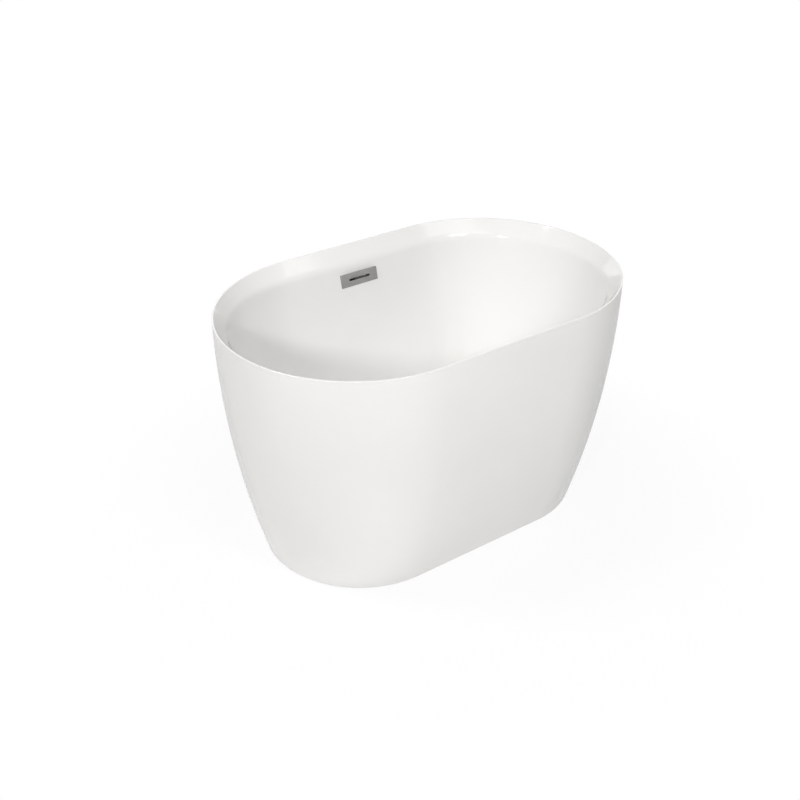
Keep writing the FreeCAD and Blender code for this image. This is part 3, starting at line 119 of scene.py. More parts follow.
# Each lamp's name, azimuth from +X and height in degrees, width and height in metres, and power in watts
LAMPS = (
    ("key_lamp", 219.0, 27.0, (0.35, 0.35), 48.0),
    ("front_lamp", 270.0, 43.0, (0.8, 0.8), 51.0),
    ("front_panel", 276.0, 58.0, (3.4, 0.9), 16.0),
    ("top_lamp", 156.0, 57.0, (0.8, 0.8), 64.0),
    ("back_panel", 60.0, 12.0, (4.6, 3.0), 40.0),
    ("side_lamp", 0.0, 15.0, (0.15, 0.15), 3.0),
)
LAMP_TARGET = Vector((0.0, 0.0, 0.35))
LAMP_DISTANCE = 4.0
LAMP_TINT = (1.0, 0.995, 0.985)
SOFT_TINT = (0.98, 0.985, 1.0, 1.0)
SOFT_STRENGTH = 0.03
WHITE = (1.0, 1.0, 1.0, 1.0)

# The floor: half its width in metres, two distances, each with the share of plain white that the camera sees
# there, and the share that gloss sees
FLOOR_HALF = 12.0
FLOOR_NEAR = (0.5, 0.9)
FLOOR_FAR = (1.0, 1.0)
FLOOR_GLOSS = 0.35

# The camera: angles in degrees, lengths in metres, and focal length in pixels of a picture 800 wide
PICTURE_WIDTH = 800.0
SENSOR_WIDTH = 36.0
FOCAL_PIXELS = 1110.61
CAMERA_AZIMUTH = 35.415
CAMERA_HEIGHT = 31.263
CAMERA_DISTANCE = 2.96634
CAMERA_TARGET = Vector((0.0, 0.0, 0.3))
CAMERA_RIGHT = -0.06082
CAMERA_UP = 0.02356
CAMERA_CLIP = (0.05, 100.0)


# Sizes and colours that a user may change

def size(label, description, default):
    """A length property in metres."""
    return FloatProperty(
        name=label, description=description, default=default, min=0.0, unit="LENGTH", precision=5
    )


def colour(label, description, default):
    """A linear colour property."""
    return FloatVectorProperty(
        name=label, description=description, default=default, size=3, min=0.0, max=1.0, subtype="COLOR"
    )


class BathShellSizes(bpy.types.PropertyGroup):
    """Sizes of the two acrylic shells."""

    half_length: size("Half length", "Half of the length over the rim", BASIN_HIGH.x)
    half_width: size("Half width", "Half of the width over the rim", BASIN_HIGH.y)
    height: size("Height", "Level of the rim's top", BASIN_HIGH.z)
    lip_bottom: size("Lip underside", "Level where the lip sits on the skirt", SKIRT_HIGH.z)
    lip_width: size("Lip width", "Width of the rim's narrow top edge", 0.004)
    lip_round: size("Lip rounding", "Radius on both edges of the lip", 0.0007)
    crease_half_length: size("Crease half length", "Half length at the foot of the rim band", 0.519)
    crease_half_width: size("Crease half width", "Half width at the foot of the rim band", 0.310)
    crease_level: size("Crease level", "Level of the crease under the rim band", 0.617)
    crease_round: size("Crease rounding", "Radius of the soft crease", 0.045)
    floor_half_width: size("Floor half width", "Half width where wall and floor would meet", 0.202)
    floor_level: size("Floor level", "Level of the basin floor", 0.150)
    floor_round: size("Floor rounding", "Radius between wall and floor", 0.080)
    shell: size("Shell thickness", "Thickness of either shell", 0.005)
    drain_radius: size("Drain radius", "Radius of the hole for the waste", 0.0245)
    foot_level: size("Skirt foot level", "Gap between the skirt and the floor", SKIRT_LOW.z)
    foot_half_width: size("Skirt foot half width", "Half of the skirt's width at its foot", 0.262)
    foot_flange: size("Foot flange", "Width of the flange turned in at the skirt's foot", 0.020)
    edge_round: size("Edge rounding", "Small radius on the skirt's foot and flange", 0.0012)
    seam_round: size("Seam rounding", "Small radius where skirt and lip meet", 0.0004)


class OverflowSizes(bpy.types.PropertyGroup):
    """Sizes of the overflow cover and of the hole behind it."""

    centre_y: size("Centre Y", "Distance of the cover's centre from the bath's middle", 0.299593)
    centre_z: size("Centre Z", "Level of the cover's centre", 0.572)
    lean: FloatProperty(
        name="Lean", description="Lean of the wall from the upright",
        default=math.atan2(WALL_INWARD, WALL_FALL), subtype="ANGLE"
    )
    length: size("Cover length", "Length of the cover plate", 0.115)
    height: size("Cover height", "Height of the cover plate", 0.036)
    thickness: size("Cover thickness", "How far the cover stands off the wall", 0.0045)
    edge_round: size("Edge rounding", "Radius on the cover's front edge", 0.0006)
    corner_round: size("Corner rounding", "Radius at the cover's corners", 0.0008)
    border: size("Border", "Width of the cover's rim at the back", 0.005)
    recess: size("Recess", "Depth of the hollow at the back", 0.0028)
    slot_length: size("Slot length", "Length of the overflow slot", 0.065)
    slot_height: size("Slot height", "Height of the overflow slot", 0.006)
    hole_length: size("Hole length", "Length of the hole in the wall", 0.092)
    hole_height: size("Hole height", "Height of the hole in the wall", 0.020)


class WasteSizes(bpy.types.PropertyGroup):
    """Sizes of the plug cap, the waste flange and its spider."""

    cap_radius: size("Cap radius", "Radius of the plug cap", CAP_HIGH.x)
    cap_low: size("Cap underside", "Level of the cap's underside", CAP_LOW.z)
    cap_top: size("Cap top", "Level of the top of the cap's dome", CAP_HIGH.z)
    cap_dome: size("Cap dome", "Height of the dome above the cap's edge", 0.003)
    flange_radius: size("Flange radius", "Radius of the waste flange", FLANGE_HIGH.x)
    flange_top: size("Flange top", "Level of the flange's top", FLANGE_HIGH.z)
    flange_thickness: size("Flange thickness", "Thickness of the flange", 0.002)
    tube_radius: size("Tube radius", "Outer radius of the flange's tube", 0.023)
    tube_bore: size("Tube bore", "Inner radius of the flange's tube", 0.019)
    tube_low: size("Tube end", "Level of the tube's lower end", FLANGE_LOW.z)
    spider_top: size("Spider top", "Level of the top of the spider's ribs", 0.136)
    spider_height: size("Spider height", "Height of the ribs and the hub", 0.010)
    hub_radius: size("Hub radius", "Outer radius of the spider's hub", 0.011)
    hub_bore: size("Hub bore", "Radius of the hole for the plug's cartridge", 0.008)
    rib_width: size("Rib width", "Width of one rib", 0.003)


class BathFinishes(bpy.types.PropertyGroup):
    """Colours of the bath's materials."""

    acrylic: colour("Acrylic", "White sheet acrylic", (0.900, 0.897, 0.890))
    cover_metal: colour("Cover metal", "Satin metal of the overflow cover", (0.36, 0.36, 0.355))
    chrome: colour("Chrome", "Plated plug cap and waste flange", (0.80, 0.80, 0.80))
    resin: colour("Resin", "Resin bead under the rim", (0.82, 0.80, 0.70))
    board: colour("Board", "Particle board under the basin", (0.62, 0.50, 0.35))
    frame_steel: colour("Frame steel", "Powder coat of the frame", (0.28, 0.29, 0.30))
    zinc: colour("Zinc", "Zinc-plated screws, nuts, studs and brackets", (0.68, 0.68, 0.66))
    pad_plastic: colour("Pad plastic", "Black moulded plastic of the feet", (0.05, 0.05, 0.05))
    rubber: colour("Rubber", "Black seals", (0.06, 0.06, 0.06))
    waste_plastic: colour("Waste plastic", "White moulded plastic of the waste", (0.82, 0.82, 0.80))
    # The dark colour of the frame behind the overflow cover is painted shade: it darkens the slot, where only
    # shade falls
    frame_plastic: colour("Overflow frame", "Dark plastic of the frame behind the cover", (0.11, 0.11, 0.11))
    brass: colour("Brass", "Turned brass of the plug's cartridge", (0.72, 0.58, 0.30))
    floor: colour("Floor", "Studio floor", (0.93, 0.93, 0.93))


# Geometry

def lerp(a, b, share):
    """Plain mixture of two arrays."""
    return a + (b - a) * share


def stadium_stations(front_steps, back_shares, arc_steps):
    """Stations once round a stadium, against the clock from the front end of the right arc.

    Each station is (s, cos t, sin t). On an arc s stays at 1 or -1 and the angle t turns by half a turn. On a
    straight s runs from one end to the other and t stays at a right angle.
    """
    turn = np.linspace(-math.pi / 2, math.pi / 2, arc_steps + 1)
    right = np.stack([np.ones_like(turn), np.cos(turn), np.sin(turn)])
    back = np.stack([back_shares, np.zeros_like(back_shares), np.ones_like(back_shares)])
    left = np.stack([-np.ones_like(turn), -np.cos(turn), -np.sin(turn)])
    shares = np.linspace(-1, 1, front_steps + 1)[1:-1]
    front = np.stack([shares, np.zeros_like(shares), -np.ones_like(shares)])
    return np.concatenate([right, back[:, 1:-1], left, front], axis=1)


def on_stadium(stations, half_straight, radius, level):
    """Points of one level line: x = s * half_straight + radius * cos t, y = radius * sin t, z = level."""
    s, cosine, sine = stations
    return np.stack([s * half_straight + radius * cosine, radius * sine, np.full_like(s, level)], axis=-1)


def arc_at_corner(before, corner, after, radius, steps):
    """Rows of a round of the given radius that touches both runs of a corner, worked out at every station.

    With e and f the unit directions from the corner back and ahead, and g the angle between them, the centre
    lies on their bisector at radius / sin(g / 2), and the rows turn evenly between the touching points.
    """
    if radius <= 0 or steps < 1:
        return corner[None]
    back = before - corner
    ahead = after - corner
    back = back / np.linalg.norm(back, axis=-1, keepdims=True)
    ahead = ahead / np.linalg.norm(ahead, axis=-1, keepdims=True)
    angle = np.arccos(np.clip((back * ahead).sum(-1, keepdims=True), -1, 1))
    centre = corner + (back + ahead) / (2 * np.cos(angle / 2)) * radius / np.sin(angle / 2)
    reach = radius / np.tan(angle / 2)
    first = corner + back * reach - centre
    last = corner + ahead * reach - centre
    turn = math.pi - angle
    share = np.linspace(0, 1, steps + 1)[:, None, None]
    return centre + (first * np.sin((1 - share) * turn) + last * np.sin(share * turn)) / np.sin(turn)


def rounded_rows(corners, runs=None, closed=True, support=0.0004):
    """Rows of points along a chain of straight runs with rounded corners.

    A corner is (points, radius, steps), with one point for every station. Each run gets a row close to both
    its ends, so that shading stays flat between them. Between those it has rows at the shares that runs gives
    for it, as they are or as a function of the run's two end rows. The second result is the number of each
    run's first such row.
    """
    runs = runs or {}
    count = len(corners)
    rounds = []
    for index, (points, radius, steps) in enumerate(corners):
        before = corners[index - 1][0]
        after = corners[(index + 1) % count][0]
        rounds.append(arc_at_corner(before, points, after, radius, steps))
    rows = []
    marks = {}
    for index, arc in enumerate(rounds):
        rows.extend(arc)
        if index == count - 1 and not closed:
            break
        start = arc[-1]
        end = rounds[(index + 1) % count][0]
        gap = float(np.linalg.norm(end - start, axis=-1).max())
        near = min(SUPPORT_SHARE, support / max(gap, NO_LENGTH))
        inner = runs.get(index, ())
        shares = [near, *(inner(start, end) if callable(inner) else inner), 1 - near]
        marks[index] = len(rows) + 1
        rows.extend(lerp(start, end, share) for share in shares)
    return np.stack(rows), marks


def grid_faces(rows, columns, wrap_rows, wrap_columns):
    """Quads between the rows and columns of a grid of points, as rows of four point numbers."""
    number = np.arange(rows * columns).reshape(rows, columns)
    if wrap_rows:
        number = np.concatenate([number, number[:1]])
    if wrap_columns:
        number = np.concatenate([number, number[:, :1]], axis=1)
    a, b = number[:-1, :-1], number[:-1, 1:]
    c, d = number[1:, 1:], number[1:, :-1]
    return np.stack([a, b, c, d], axis=-1)


def outward(points, faces):
    """The faces turned outwards: over a closed shell's triangles, a * (b x c) then has a positive sum."""
    a, b, c, d = (points[faces[:, k]] for k in range(4))
    volume = (a * np.cross(b, c)).sum() + (a * np.cross(c, d)).sum()
    return faces if volume > 0 else faces[:, ::-1]


def mesh_object(name, points, faces, material, body, slot, *nodes):
    """A smooth-shaded piece from arrays of points and faces, riding on a body in place of its nodes."""
    mesh = bpy.data.meshes.new(name)
    mesh.from_pydata(points.tolist(), [], faces.tolist() if isinstance(faces, np.ndarray) else faces)
    mesh.polygons.foreach_set("use_smooth", np.ones(len(mesh.polygons), bool))
    mesh.materials.append(material)
    mesh.update()
    piece = bpy.data.objects.new(name, mesh)
    bpy.context.scene.collection.objects.link(piece)
    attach(piece, body)
    if nodes:
        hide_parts(*nodes)
    return piece


def turned_rows(profile, steps):
    """A profile of (radius, level) carried once round the upright axis: x = r cos t, y = r sin t."""
    turn = np.arange(steps) * (2 * math.pi / steps)
    return np.stack([
        profile[:, :1] * np.cos(turn), profile[:, :1] * np.sin(turn), np.repeat(profile[:, 1:], steps, axis=1)
    ], axis=-1)


def turned_piece(name, corners, steps, material, body, slot, *nodes):
    """A closed turned piece. Corners are (radius, level, rounding), and those on the axis close its poles."""
    closed = corners[0][0] > 0
    chain = [(np.array([[r, 0.0, level]]), rounding, TURNED_ROUND_STEPS) for r, level, rounding in corners]
    rows, _ = rounded_rows(chain, closed=closed, support=0.0002)
    profile = rows[:, 0, [0, 2]]
    profile[:, 0] = np.maximum(profile[:, 0], 0.0)
    if not closed:
        top, low = profile[0], profile[-1]
        profile = profile[1:-1]
    faces = grid_faces(len(profile), steps, closed, True).reshape(-1, 4)
    flat = turned_rows(profile, steps).reshape(-1, 3)
    if closed:
        return mesh_object(name, flat, outward(flat, faces), material, body, slot, *nodes)
    everything = np.concatenate([flat, [[0.0, 0.0, top[1]], [0.0, 0.0, low[1]]]])
    ring = np.arange(steps)
    after = np.roll(ring, -1)
    first = np.stack([ring * 0 + len(flat), after, ring], axis=-1)
    base = (len(profile) - 1) * steps
    last = np.stack([ring * 0 + len(flat) + 1, base + ring, base + after], axis=-1)
    turned = outward(everything, faces)
    if turned is not faces:
        first, last = first[:, ::-1], last[:, ::-1]
    return mesh_object(
        name, everything, turned.tolist() + first.tolist() + last.tolist(), material, body, slot, *nodes
    )


# Materials

class Finish:
    """A material being made: a Principled shader and the nodes that feed it, on Object coordinates."""

    def __init__(self, name, **constants):
        self.material = bpy.data.materials.new(name)
        self.material.use_nodes = True
        self.tree = self.material.node_tree
        self.shader = self.tree.nodes["Principled BSDF"]
        for socket, value in constants.items():
            self.feed(socket, value)
        self.place = self.tree.nodes.new("ShaderNodeTexCoord").outputs["Object"]

    def give(self, socket, source):
        """Links another node's output to a socket, or gives the socket a plain value."""
        if isinstance(source, bpy.types.NodeSocket):
            self.tree.links.new(source, socket)
        else:
            socket.default_value = source

    def feed(self, name, source):
        """Gives the shader's socket of that name an output or a value."""
        self.give(self.shader.inputs[name], source)

    def node(self, kind, inputs=(), **values):
        """A new node, with its properties set and its inputs given by name or number."""
        node = self.tree.nodes.new(kind)
        for key, value in values.items():
            setattr(node, key, value)
        for name, source in inputs:
            self.give(node.inputs[name], source)
        return node

    def stretched(self, scale):
        """Object coordinates scaled by three numbers."""
        mapping = self.node("ShaderNodeMapping", [("Vector", self.place), ("Scale", scale)])
        return mapping.outputs["Vector"]

    def noise(self, scale, detail=4.0, roughness=0.5, vector=None):
        """Cloudy noise, as a factor."""
        return self.node("ShaderNodeTexNoise", [
            ("Vector", vector or self.place), ("Scale", scale), ("Detail", detail), ("Roughness", roughness)
        ]).outputs["Fac"]

    def tint(self, factor, dark, light, low=0.35, high=0.65):
        """Colour between two shades, spread over the middle of the factor's range."""
        ramp = self.node("ShaderNodeValToRGB", [("Fac", factor)])
        ramp.color_ramp.elements[0].position = low
        ramp.color_ramp.elements[1].position = high
        ramp.color_ramp.elements[0].color = (*dark, 1.0)
        ramp.color_ramp.elements[1].color = (*light, 1.0)
        return ramp.outputs["Color"]

    def spread(self, factor, low, high, start=0.3, end=0.7):
        """A factor mapped from its usual range to a range of values."""
        return self.node("ShaderNodeMapRange", [
            ("Value", factor), ("From Min", start), ("From Max", end), ("To Min", low), ("To Max", high)
        ]).outputs["Result"]

    def maths(self, operation, a, b):
        """One calculation with two numbers."""
        return self.node("ShaderNodeMath", [(0, a), (1, b)], operation=operation).outputs["Value"]

    def bump(self, height, strength, distance, normal=None):
        """The normal bent by a height, over another bent normal where one is given."""
        inputs = [("Height", height), ("Strength", strength), ("Distance", distance)]
        if normal:
            inputs.append(("Normal", normal))
        return self.node("ShaderNodeBump", inputs).outputs["Normal"]

    def dressed(self, colour, roughness, normal):
        """The material, once its colour, roughness and normal are fed in."""
        self.feed("Base Color", colour)
        self.feed("Roughness", roughness)
        self.feed("Normal", normal)
        return self.material


def shade(base, factor):
    """A colour made a little darker or lighter."""
    return tuple(min(1.0, channel * factor) for channel in base)


def acrylic_finish(name, base):
    """Glossy sheet acrylic: slightly cloudy, with faint wiping marks and the slow ripple of forming."""
    finish = Finish(name, Metallic=0.0, IOR=1.49)
    cloud = finish.noise(3.0, 3.0)
    wiping = finish.noise(38.0, 5.0, 0.6, finish.stretched((1.0, 1.0, 3.0)))
    ripple = finish.noise(5.5, 1.0, 0.4)
    grain = finish.noise(420.0, 2.0, 0.5)
    slow = finish.bump(ripple, 0.35, 0.0012)
    return finish.dressed(
        finish.tint(cloud, shade(base, 0.985), shade(base, 1.008)),
        finish.spread(wiping, 0.055, 0.095),
        finish.bump(grain, 0.04, 0.00004, slow),
    )


def satin_metal_finish(name, base):
    """Satin metal brushed along its length, with fine lines and soft cloudy sheen."""
    finish = Finish(name, Metallic=1.0)
    lines = finish.noise(900.0, 3.0, 0.6, finish.stretched((0.03, 1.0, 1.0)))
    cloud = finish.noise(45.0, 3.0)
    return finish.dressed(
        finish.tint(lines, shade(base, 0.93), shade(base, 1.06)),
        finish.spread(cloud, 0.34, 0.44),
        finish.bump(lines, 0.12, 0.00003),
    )


def chrome_finish(name, base):
    """Polished plating with water marks that dull it in patches and faint turning lines."""
    finish = Finish(name, Metallic=1.0)
    marks = finish.noise(120.0, 5.0, 0.65)
    return finish.dressed(
        finish.tint(marks, shade(base, 0.96), base),
        finish.spread(marks, 0.03, 0.12, 0.4, 0.75),
        finish.bump(finish.noise(600.0, 2.0), 0.03, 0.00002),
    )


def moulded_finish(roughness, grain_scale, grain):
    """Moulded plastic or rubber: a fine even grain, slightly uneven colour and soft sheen."""
    def make(name, base):
        """The finish under its name, in its base colour."""
        finish = Finish(name, Metallic=0.0)
        flow = finish.noise(22.0, 4.0, 0.55)
        grains = finish.noise(grain_scale, 3.0, 0.6)
        return finish.dressed(
            finish.tint(flow, shade(base, 0.9), shade(base, 1.06)),
            finish.spread(flow, roughness - 0.06, roughness + 0.08),
            finish.bump(grains, grain, 0.0001),
        )
    return make


def powder_coat_finish(name, base):
    """Powder coat: orange-peel bumps over colour that pools a little."""
    finish = Finish(name, Metallic=0.0)
    peel = finish.node(
        "ShaderNodeTexVoronoi", [("Vector", finish.place), ("Scale", 620.0)], feature="SMOOTH_F1"
    )
    pool = finish.noise(14.0, 4.0)
    return finish.dressed(
        finish.tint(pool, shade(base, 0.88), shade(base, 1.1)),
        finish.spread(pool, 0.4, 0.52),
        finish.bump(peel.outputs["Distance"], 0.25, 0.0002),
    )


def zinc_finish(name, base):
    """Zinc plating: bright metal clouded by passivation, with fine pitting."""
    finish = Finish(name, Metallic=1.0)
    cloud = finish.noise(90.0, 6.0, 0.65)
    passivated = (base[0] * 0.8, base[1] * 0.8, base[2] * 0.84)
    return finish.dressed(
        finish.tint(cloud, passivated, shade(base, 1.1)),
        finish.spread(cloud, 0.26, 0.46),
        finish.bump(finish.noise(1500.0, 3.0), 0.15, 0.00004),
    )


def board_finish(name, base):
    """Raw particle board: flat chips in several browns, each with its own shade and a broken surface."""
    finish = Finish(name, Metallic=0.0)
    wobble = finish.node("ShaderNodeTexNoise", [("Vector", finish.place), ("Scale", 60.0)])
    shift = finish.node(
        "ShaderNodeVectorMath", [(0, wobble.outputs["Color"]), ("Scale", 0.006)], operation="SCALE"
    )
    bent = finish.node("ShaderNodeVectorMath", [
        (0, finish.place), (1, (1.0, 1.0, 2.4)), (2, shift.outputs["Vector"])
    ], operation="MULTIPLY_ADD")
    chips = finish.node("ShaderNodeTexVoronoi", [
        ("Vector", bent.outputs["Vector"]), ("Scale", 210.0), ("Randomness", 1.0)
    ])
    grey = finish.node("ShaderNodeRGBToBW", [("Color", chips.outputs["Color"])]).outputs["Val"]
    return finish.dressed(
        finish.tint(grey, shade(base, 0.62), shade(base, 1.18), 0.15, 0.85),
        finish.spread(grey, 0.72, 0.9),
        finish.bump(chips.outputs["Distance"], 0.4, 0.0006),
    )


def turned_brass_finish(name, base):
    """Turned brass: fine rings about the plug's axis and a thin brown tarnish."""
    finish = Finish(name, Metallic=1.0)
    rings = finish.node("ShaderNodeTexWave", [
        ("Vector", finish.place), ("Scale", 700.0), ("Distortion", 1.5)
    ], wave_type="BANDS", bands_direction="Z")
    tarnish = finish.noise(150.0, 5.0, 0.6)
    brown = (base[0] * 0.7, base[1] * 0.66, base[2] * 0.6)
    return finish.dressed(
        finish.tint(tarnish, brown, base),
        finish.spread(tarnish, 0.2, 0.4),
        finish.bump(rings.outputs["Fac"], 0.1, 0.00004),
    )


def resin_finish(name, base):
    """Hand-laid resin: uneven yellowed colour, lumps and a half gloss."""
    finish = Finish(name, Metallic=0.0)
    lumps = finish.noise(70.0, 4.0, 0.6)
    return finish.dressed(
        finish.tint(lumps, shade(base, 0.8), shade(base, 1.08)),
        finish.spread(lumps, 0.3, 0.55),
        finish.bump(lumps, 0.5, 0.0012),
    )


# For every material slot: its material's name, the property with its colour, and the function that makes it.
# The frame has a plain material that is also named seal_rubber. It is found first, so the seals wear it.
FINISHES = {
    "acrylic": ("white_acrylic", "acrylic", acrylic_finish),
    "cover_metal": ("satin_cover_metal", "cover_metal", satin_metal_finish),
    "chrome": ("polished_plating", "chrome", chrome_finish),
    "resin": ("cured_resin", "resin", resin_finish),
    "board": ("particle_board", "board", board_finish),
    "frame_steel": ("powder_coated_steel", "frame_steel", powder_coat_finish),
    "zinc_steel": ("zinc_plating", "zinc", zinc_finish),
    "pad_plastic": ("black_foot_plastic", "pad_plastic", moulded_finish(0.45, 900.0, 0.2)),
    "seal_rubber": ("seal_rubber", "rubber", moulded_finish(0.7, 500.0, 0.35)),
    "waste_plastic": ("white_waste_plastic", "waste_plastic", moulded_finish(0.36, 700.0, 0.1)),
    # The frame behind the cover wears a dark finish as painted shade in the slot
    "frame_plastic": ("dark_frame_plastic", "frame_plastic", moulded_finish(0.5, 700.0, 0.1)),
    "brass": ("turned_brass", "brass", turned_brass_finish),
}


def finish_of(scene, slot):
    """The material of a slot, made when it is first asked for."""
    name, colour_name, make = FINISHES[slot]
    return bpy.data.materials.get(name) or make(name, getattr(scene.bath_finishes, colour_name))


# Operators, one for each piece or group of like pieces

class BATHTUB_OT_outer_skirt(bpy.types.Operator):
    """Build the outer shell: one bowed wall section carried round the stadium"""

    bl_idname = "bathtub.outer_skirt"
    bl_label = "Outer Skirt"

    def execute(self, context):
        """The wall is an arc that is upright at the top: r(z) = R - bow + sqrt(bow^2 - (top - z)^2)."""
        sizes = context.scene.bath_shell
        straight = sizes.half_length - sizes.half_width
        rise = sizes.lip_bottom - sizes.foot_level
        lean = sizes.half_width - sizes.foot_half_width
        bow = (rise ** 2 + lean ** 2) / (2 * lean)
        stations = stadium_stations(FRONT_STEPS, np.linspace(1, -1, FRONT_STEPS + 1), ARC_STEPS)

        def wall(level, inset):
            """The wall's radius at a level, on an arc that lies inside the outer one by the inset."""
            return sizes.half_width - bow + np.sqrt((bow - inset) ** 2 - (sizes.lip_bottom - level) ** 2)

        def row(radius, level, rounding=0.0, steps=0):
            """A corner of the chain: a stadium line, its rounding and the steps of that."""
            return on_stadium(stations, straight, radius, level), rounding, steps

        ledge = sizes.foot_level + sizes.shell
        levels = np.linspace(sizes.foot_level + FOOT_CLEAR, sizes.lip_bottom - SEAM_CLEAR, SKIRT_ROWS)
        inner = levels[levels > ledge + LEDGE_CLEAR]
        tip = sizes.foot_half_width - sizes.shell - sizes.foot_flange
        corners = [row(sizes.foot_half_width, sizes.foot_level, sizes.edge_round, FOOT_STEPS)]
        corners += [row(wall(level, 0.0), level) for level in levels]
        for radius in (sizes.half_width, sizes.half_width - sizes.shell):
            corners += [row(radius, sizes.lip_bottom, sizes.seam_round, EDGE_STEPS)]
        corners += [row(wall(level, sizes.shell), level) for level in inner[::-1]]
        corners += [row(wall(ledge, sizes.shell), ledge, 2 * sizes.edge_round, FOOT_STEPS)]
        corners += [row(tip, level, sizes.edge_round, EDGE_STEPS) for level in (ledge, sizes.foot_level)]
        rows, _ = rounded_rows(corners)
        faces = grid_faces(rows.shape[0], rows.shape[1], True, True).reshape(-1, 4)
        points = rows.reshape(-1, 3)
        finish = finish_of(context.scene, "acrylic")
        mesh_object("skirt_shell", points, outward(points, faces), finish, "root", "acrylic", "outer_skirt")
        return {"FINISHED"}


class BATHTUB_OT_inner_basin(bpy.types.Operator):
    """Build the inner shell: lip, rim band, crease, leaning wall, floor and drain, open for the overflow"""

    bl_idname = "bathtub.inner_basin"
    bl_label = "Inner Basin"

    def execute(self, context):
        """A closed chain of rounded corners carried round the stadium, which shortens at the crease."""
        sizes = context.scene.bath_shell
        overflow = context.scene.bath_overflow
        straight = sizes.half_length - sizes.half_width
        low_straight = sizes.crease_half_length - sizes.crease_half_width
        hole_end = overflow.hole_length / 2 / low_straight
        side = np.linspace(1, hole_end, SIDE_STEPS + 1)
        across = np.linspace(hole_end, -hole_end, HOLE_STEPS + 1)
        back_shares = np.concatenate([side, across[1:], -side[::-1][1:]])
        stations = stadium_stations(FRONT_STEPS, back_shares, ARC_STEPS)
        first = ARC_STEPS + SIDE_STEPS
        last = first + HOLE_STEPS
        middle = first + HOLE_STEPS // 2
        skin = sizes.shell

        def row(half_straight, radius, level, rounding=0.0, steps=0):
            """A corner of the chain: a stadium line, its rounding and the steps of that."""
            return on_stadium(stations, half_straight, radius, level), rounding, steps

        def drain(level, rounding):
            """The drain's ring, each point in the direction of its station on the floor."""
            line = on_stadium(stations, low_straight, sizes.floor_half_width, level)
            heading = np.arctan2(line[:, 1], line[:, 0])
            ring = np.stack([np.cos(heading), np.sin(heading)], axis=-1) * sizes.drain_radius
            return np.concatenate([ring, line[:, 2:]], axis=-1), rounding, EDGE_STEPS

        under_floor = sizes.floor_level - skin
        under_crease = sizes.crease_level - skin / 2
        ring_radius = sizes.floor_half_width - FLOOR_RING
        corners = [
            row(straight, sizes.half_width - skin, sizes.lip_bottom),
            row(straight, sizes.half_width, sizes.lip_bottom, sizes.seam_round, EDGE_STEPS),
            row(straight, sizes.half_width, sizes.height, sizes.lip_round, LIP_STEPS),
            row(straight, sizes.half_width - sizes.lip_width, sizes.height, sizes.lip_round, LIP_STEPS),
            row(low_straight, sizes.crease_half_width, sizes.crease_level, sizes.crease_round, CREASE_STEPS),
            row(low_straight, sizes.floor_half_width, sizes.floor_level, sizes.floor_round, FLOOR_STEPS),
            row(low_straight, ring_radius, sizes.floor_level),
            drain(sizes.floor_level, DRAIN_ROUND),
            drain(under_floor, DRAIN_UNDER_ROUND),
            row(low_straight, ring_radius, under_floor),
            row(low_straight, sizes.floor_half_width + skin, under_floor,
                sizes.floor_round + skin, FLOOR_STEPS),
            row(low_straight, sizes.crease_half_width + skin, under_crease,
                sizes.crease_round - skin, UNDER_CREASE_STEPS),
        ]
        hole_rows = {}

        def wall_shares(run, behind):
            """A function for the shares of a wall's rows: even, with one on each edge of the hole."""
            def shares(start, end):
                """The shares between a run's two end rows, worked out in the middle of the hole."""
                start, end = start[middle], end[middle]
                levels = self.hole_levels(overflow, behind, start, end)
                edges = sorted(float((level - start[2]) / (end[2] - start[2])) for level in levels)
                even = np.linspace(0, 1, WALL_ROWS + 2)[1:-1]
                before, after = edges[0] - HOLE_CLEAR_SHARE, edges[1] + HOLE_CLEAR_SHARE
                spread = sorted([*(share for share in even if share < before or share > after), *edges])
                hole_rows[run] = spread.index(edges[0])
                return spread
            return shares

        rows, marks = rounded_rows(corners, {
            FRONT_WALL_RUN: wall_shares(FRONT_WALL_RUN, False),
            FLOOR_RUN: FLAT_SHARES,
            BACK_WALL_RUN: wall_shares(BACK_WALL_RUN, True),
        })
        count = rows.shape[1]
        faces = grid_faces(rows.shape[0], count, True, True)
        number = np.arange(rows.shape[0] * count).reshape(-1, count)
        gates = []
        for run, place in hole_rows.items():
            edge = marks[run] + place
            faces[edge, first:last] = -1
            before, after = number[edge:edge + 2, first:last + 1]
            gates.append(np.concatenate([before, after[::-1]]))
        # The front wall's rows run down and the back wall's run up, so the back's two edges change places
        front, back = gates
        back = np.concatenate([back[len(back) // 2:][::-1], back[:len(back) // 2][::-1]])
        walls = np.stack([front, np.roll(front, -1), np.roll(back, -1), back], axis=-1)
        faces = faces.reshape(-1, 4)
        faces = faces[faces[:, 0] >= 0]
        points = rows.reshape(-1, 3)
        everything = np.concatenate([outward(points, faces), self.facing_hole(points, walls, overflow)])
        finish = finish_of(context.scene, "acrylic")
        mesh_object("basin_shell", points, everything, finish, "root", "acrylic", "inner_basin")
        return {"FINISHED"}

    @staticmethod
    def hole_levels(overflow, behind, start, end):
        """Levels of the hole's two edges on the front or the back of the wall, cut square to the wall's face.

        The wall's line runs from start to end. An edge lies half the hole's height along the wall from the
        cover's centre, and behind the wall it moves along the wall's normal until it meets the line.
        """
        slope = (end[1] - start[1]) / (end[2] - start[2])
        cosine, sine = math.cos(overflow.lean), math.sin(overflow.lean)
        levels = []
        for sign in (-1, 1):
            y = overflow.centre_y + sign * overflow.hole_height / 2 * sine
            z = overflow.centre_z + sign * overflow.hole_height / 2 * cosine
            if behind:
                z -= (start[1] + slope * (z - start[2]) - y) / (cosine + slope * sine) * sine
            levels.append(z)
        return levels

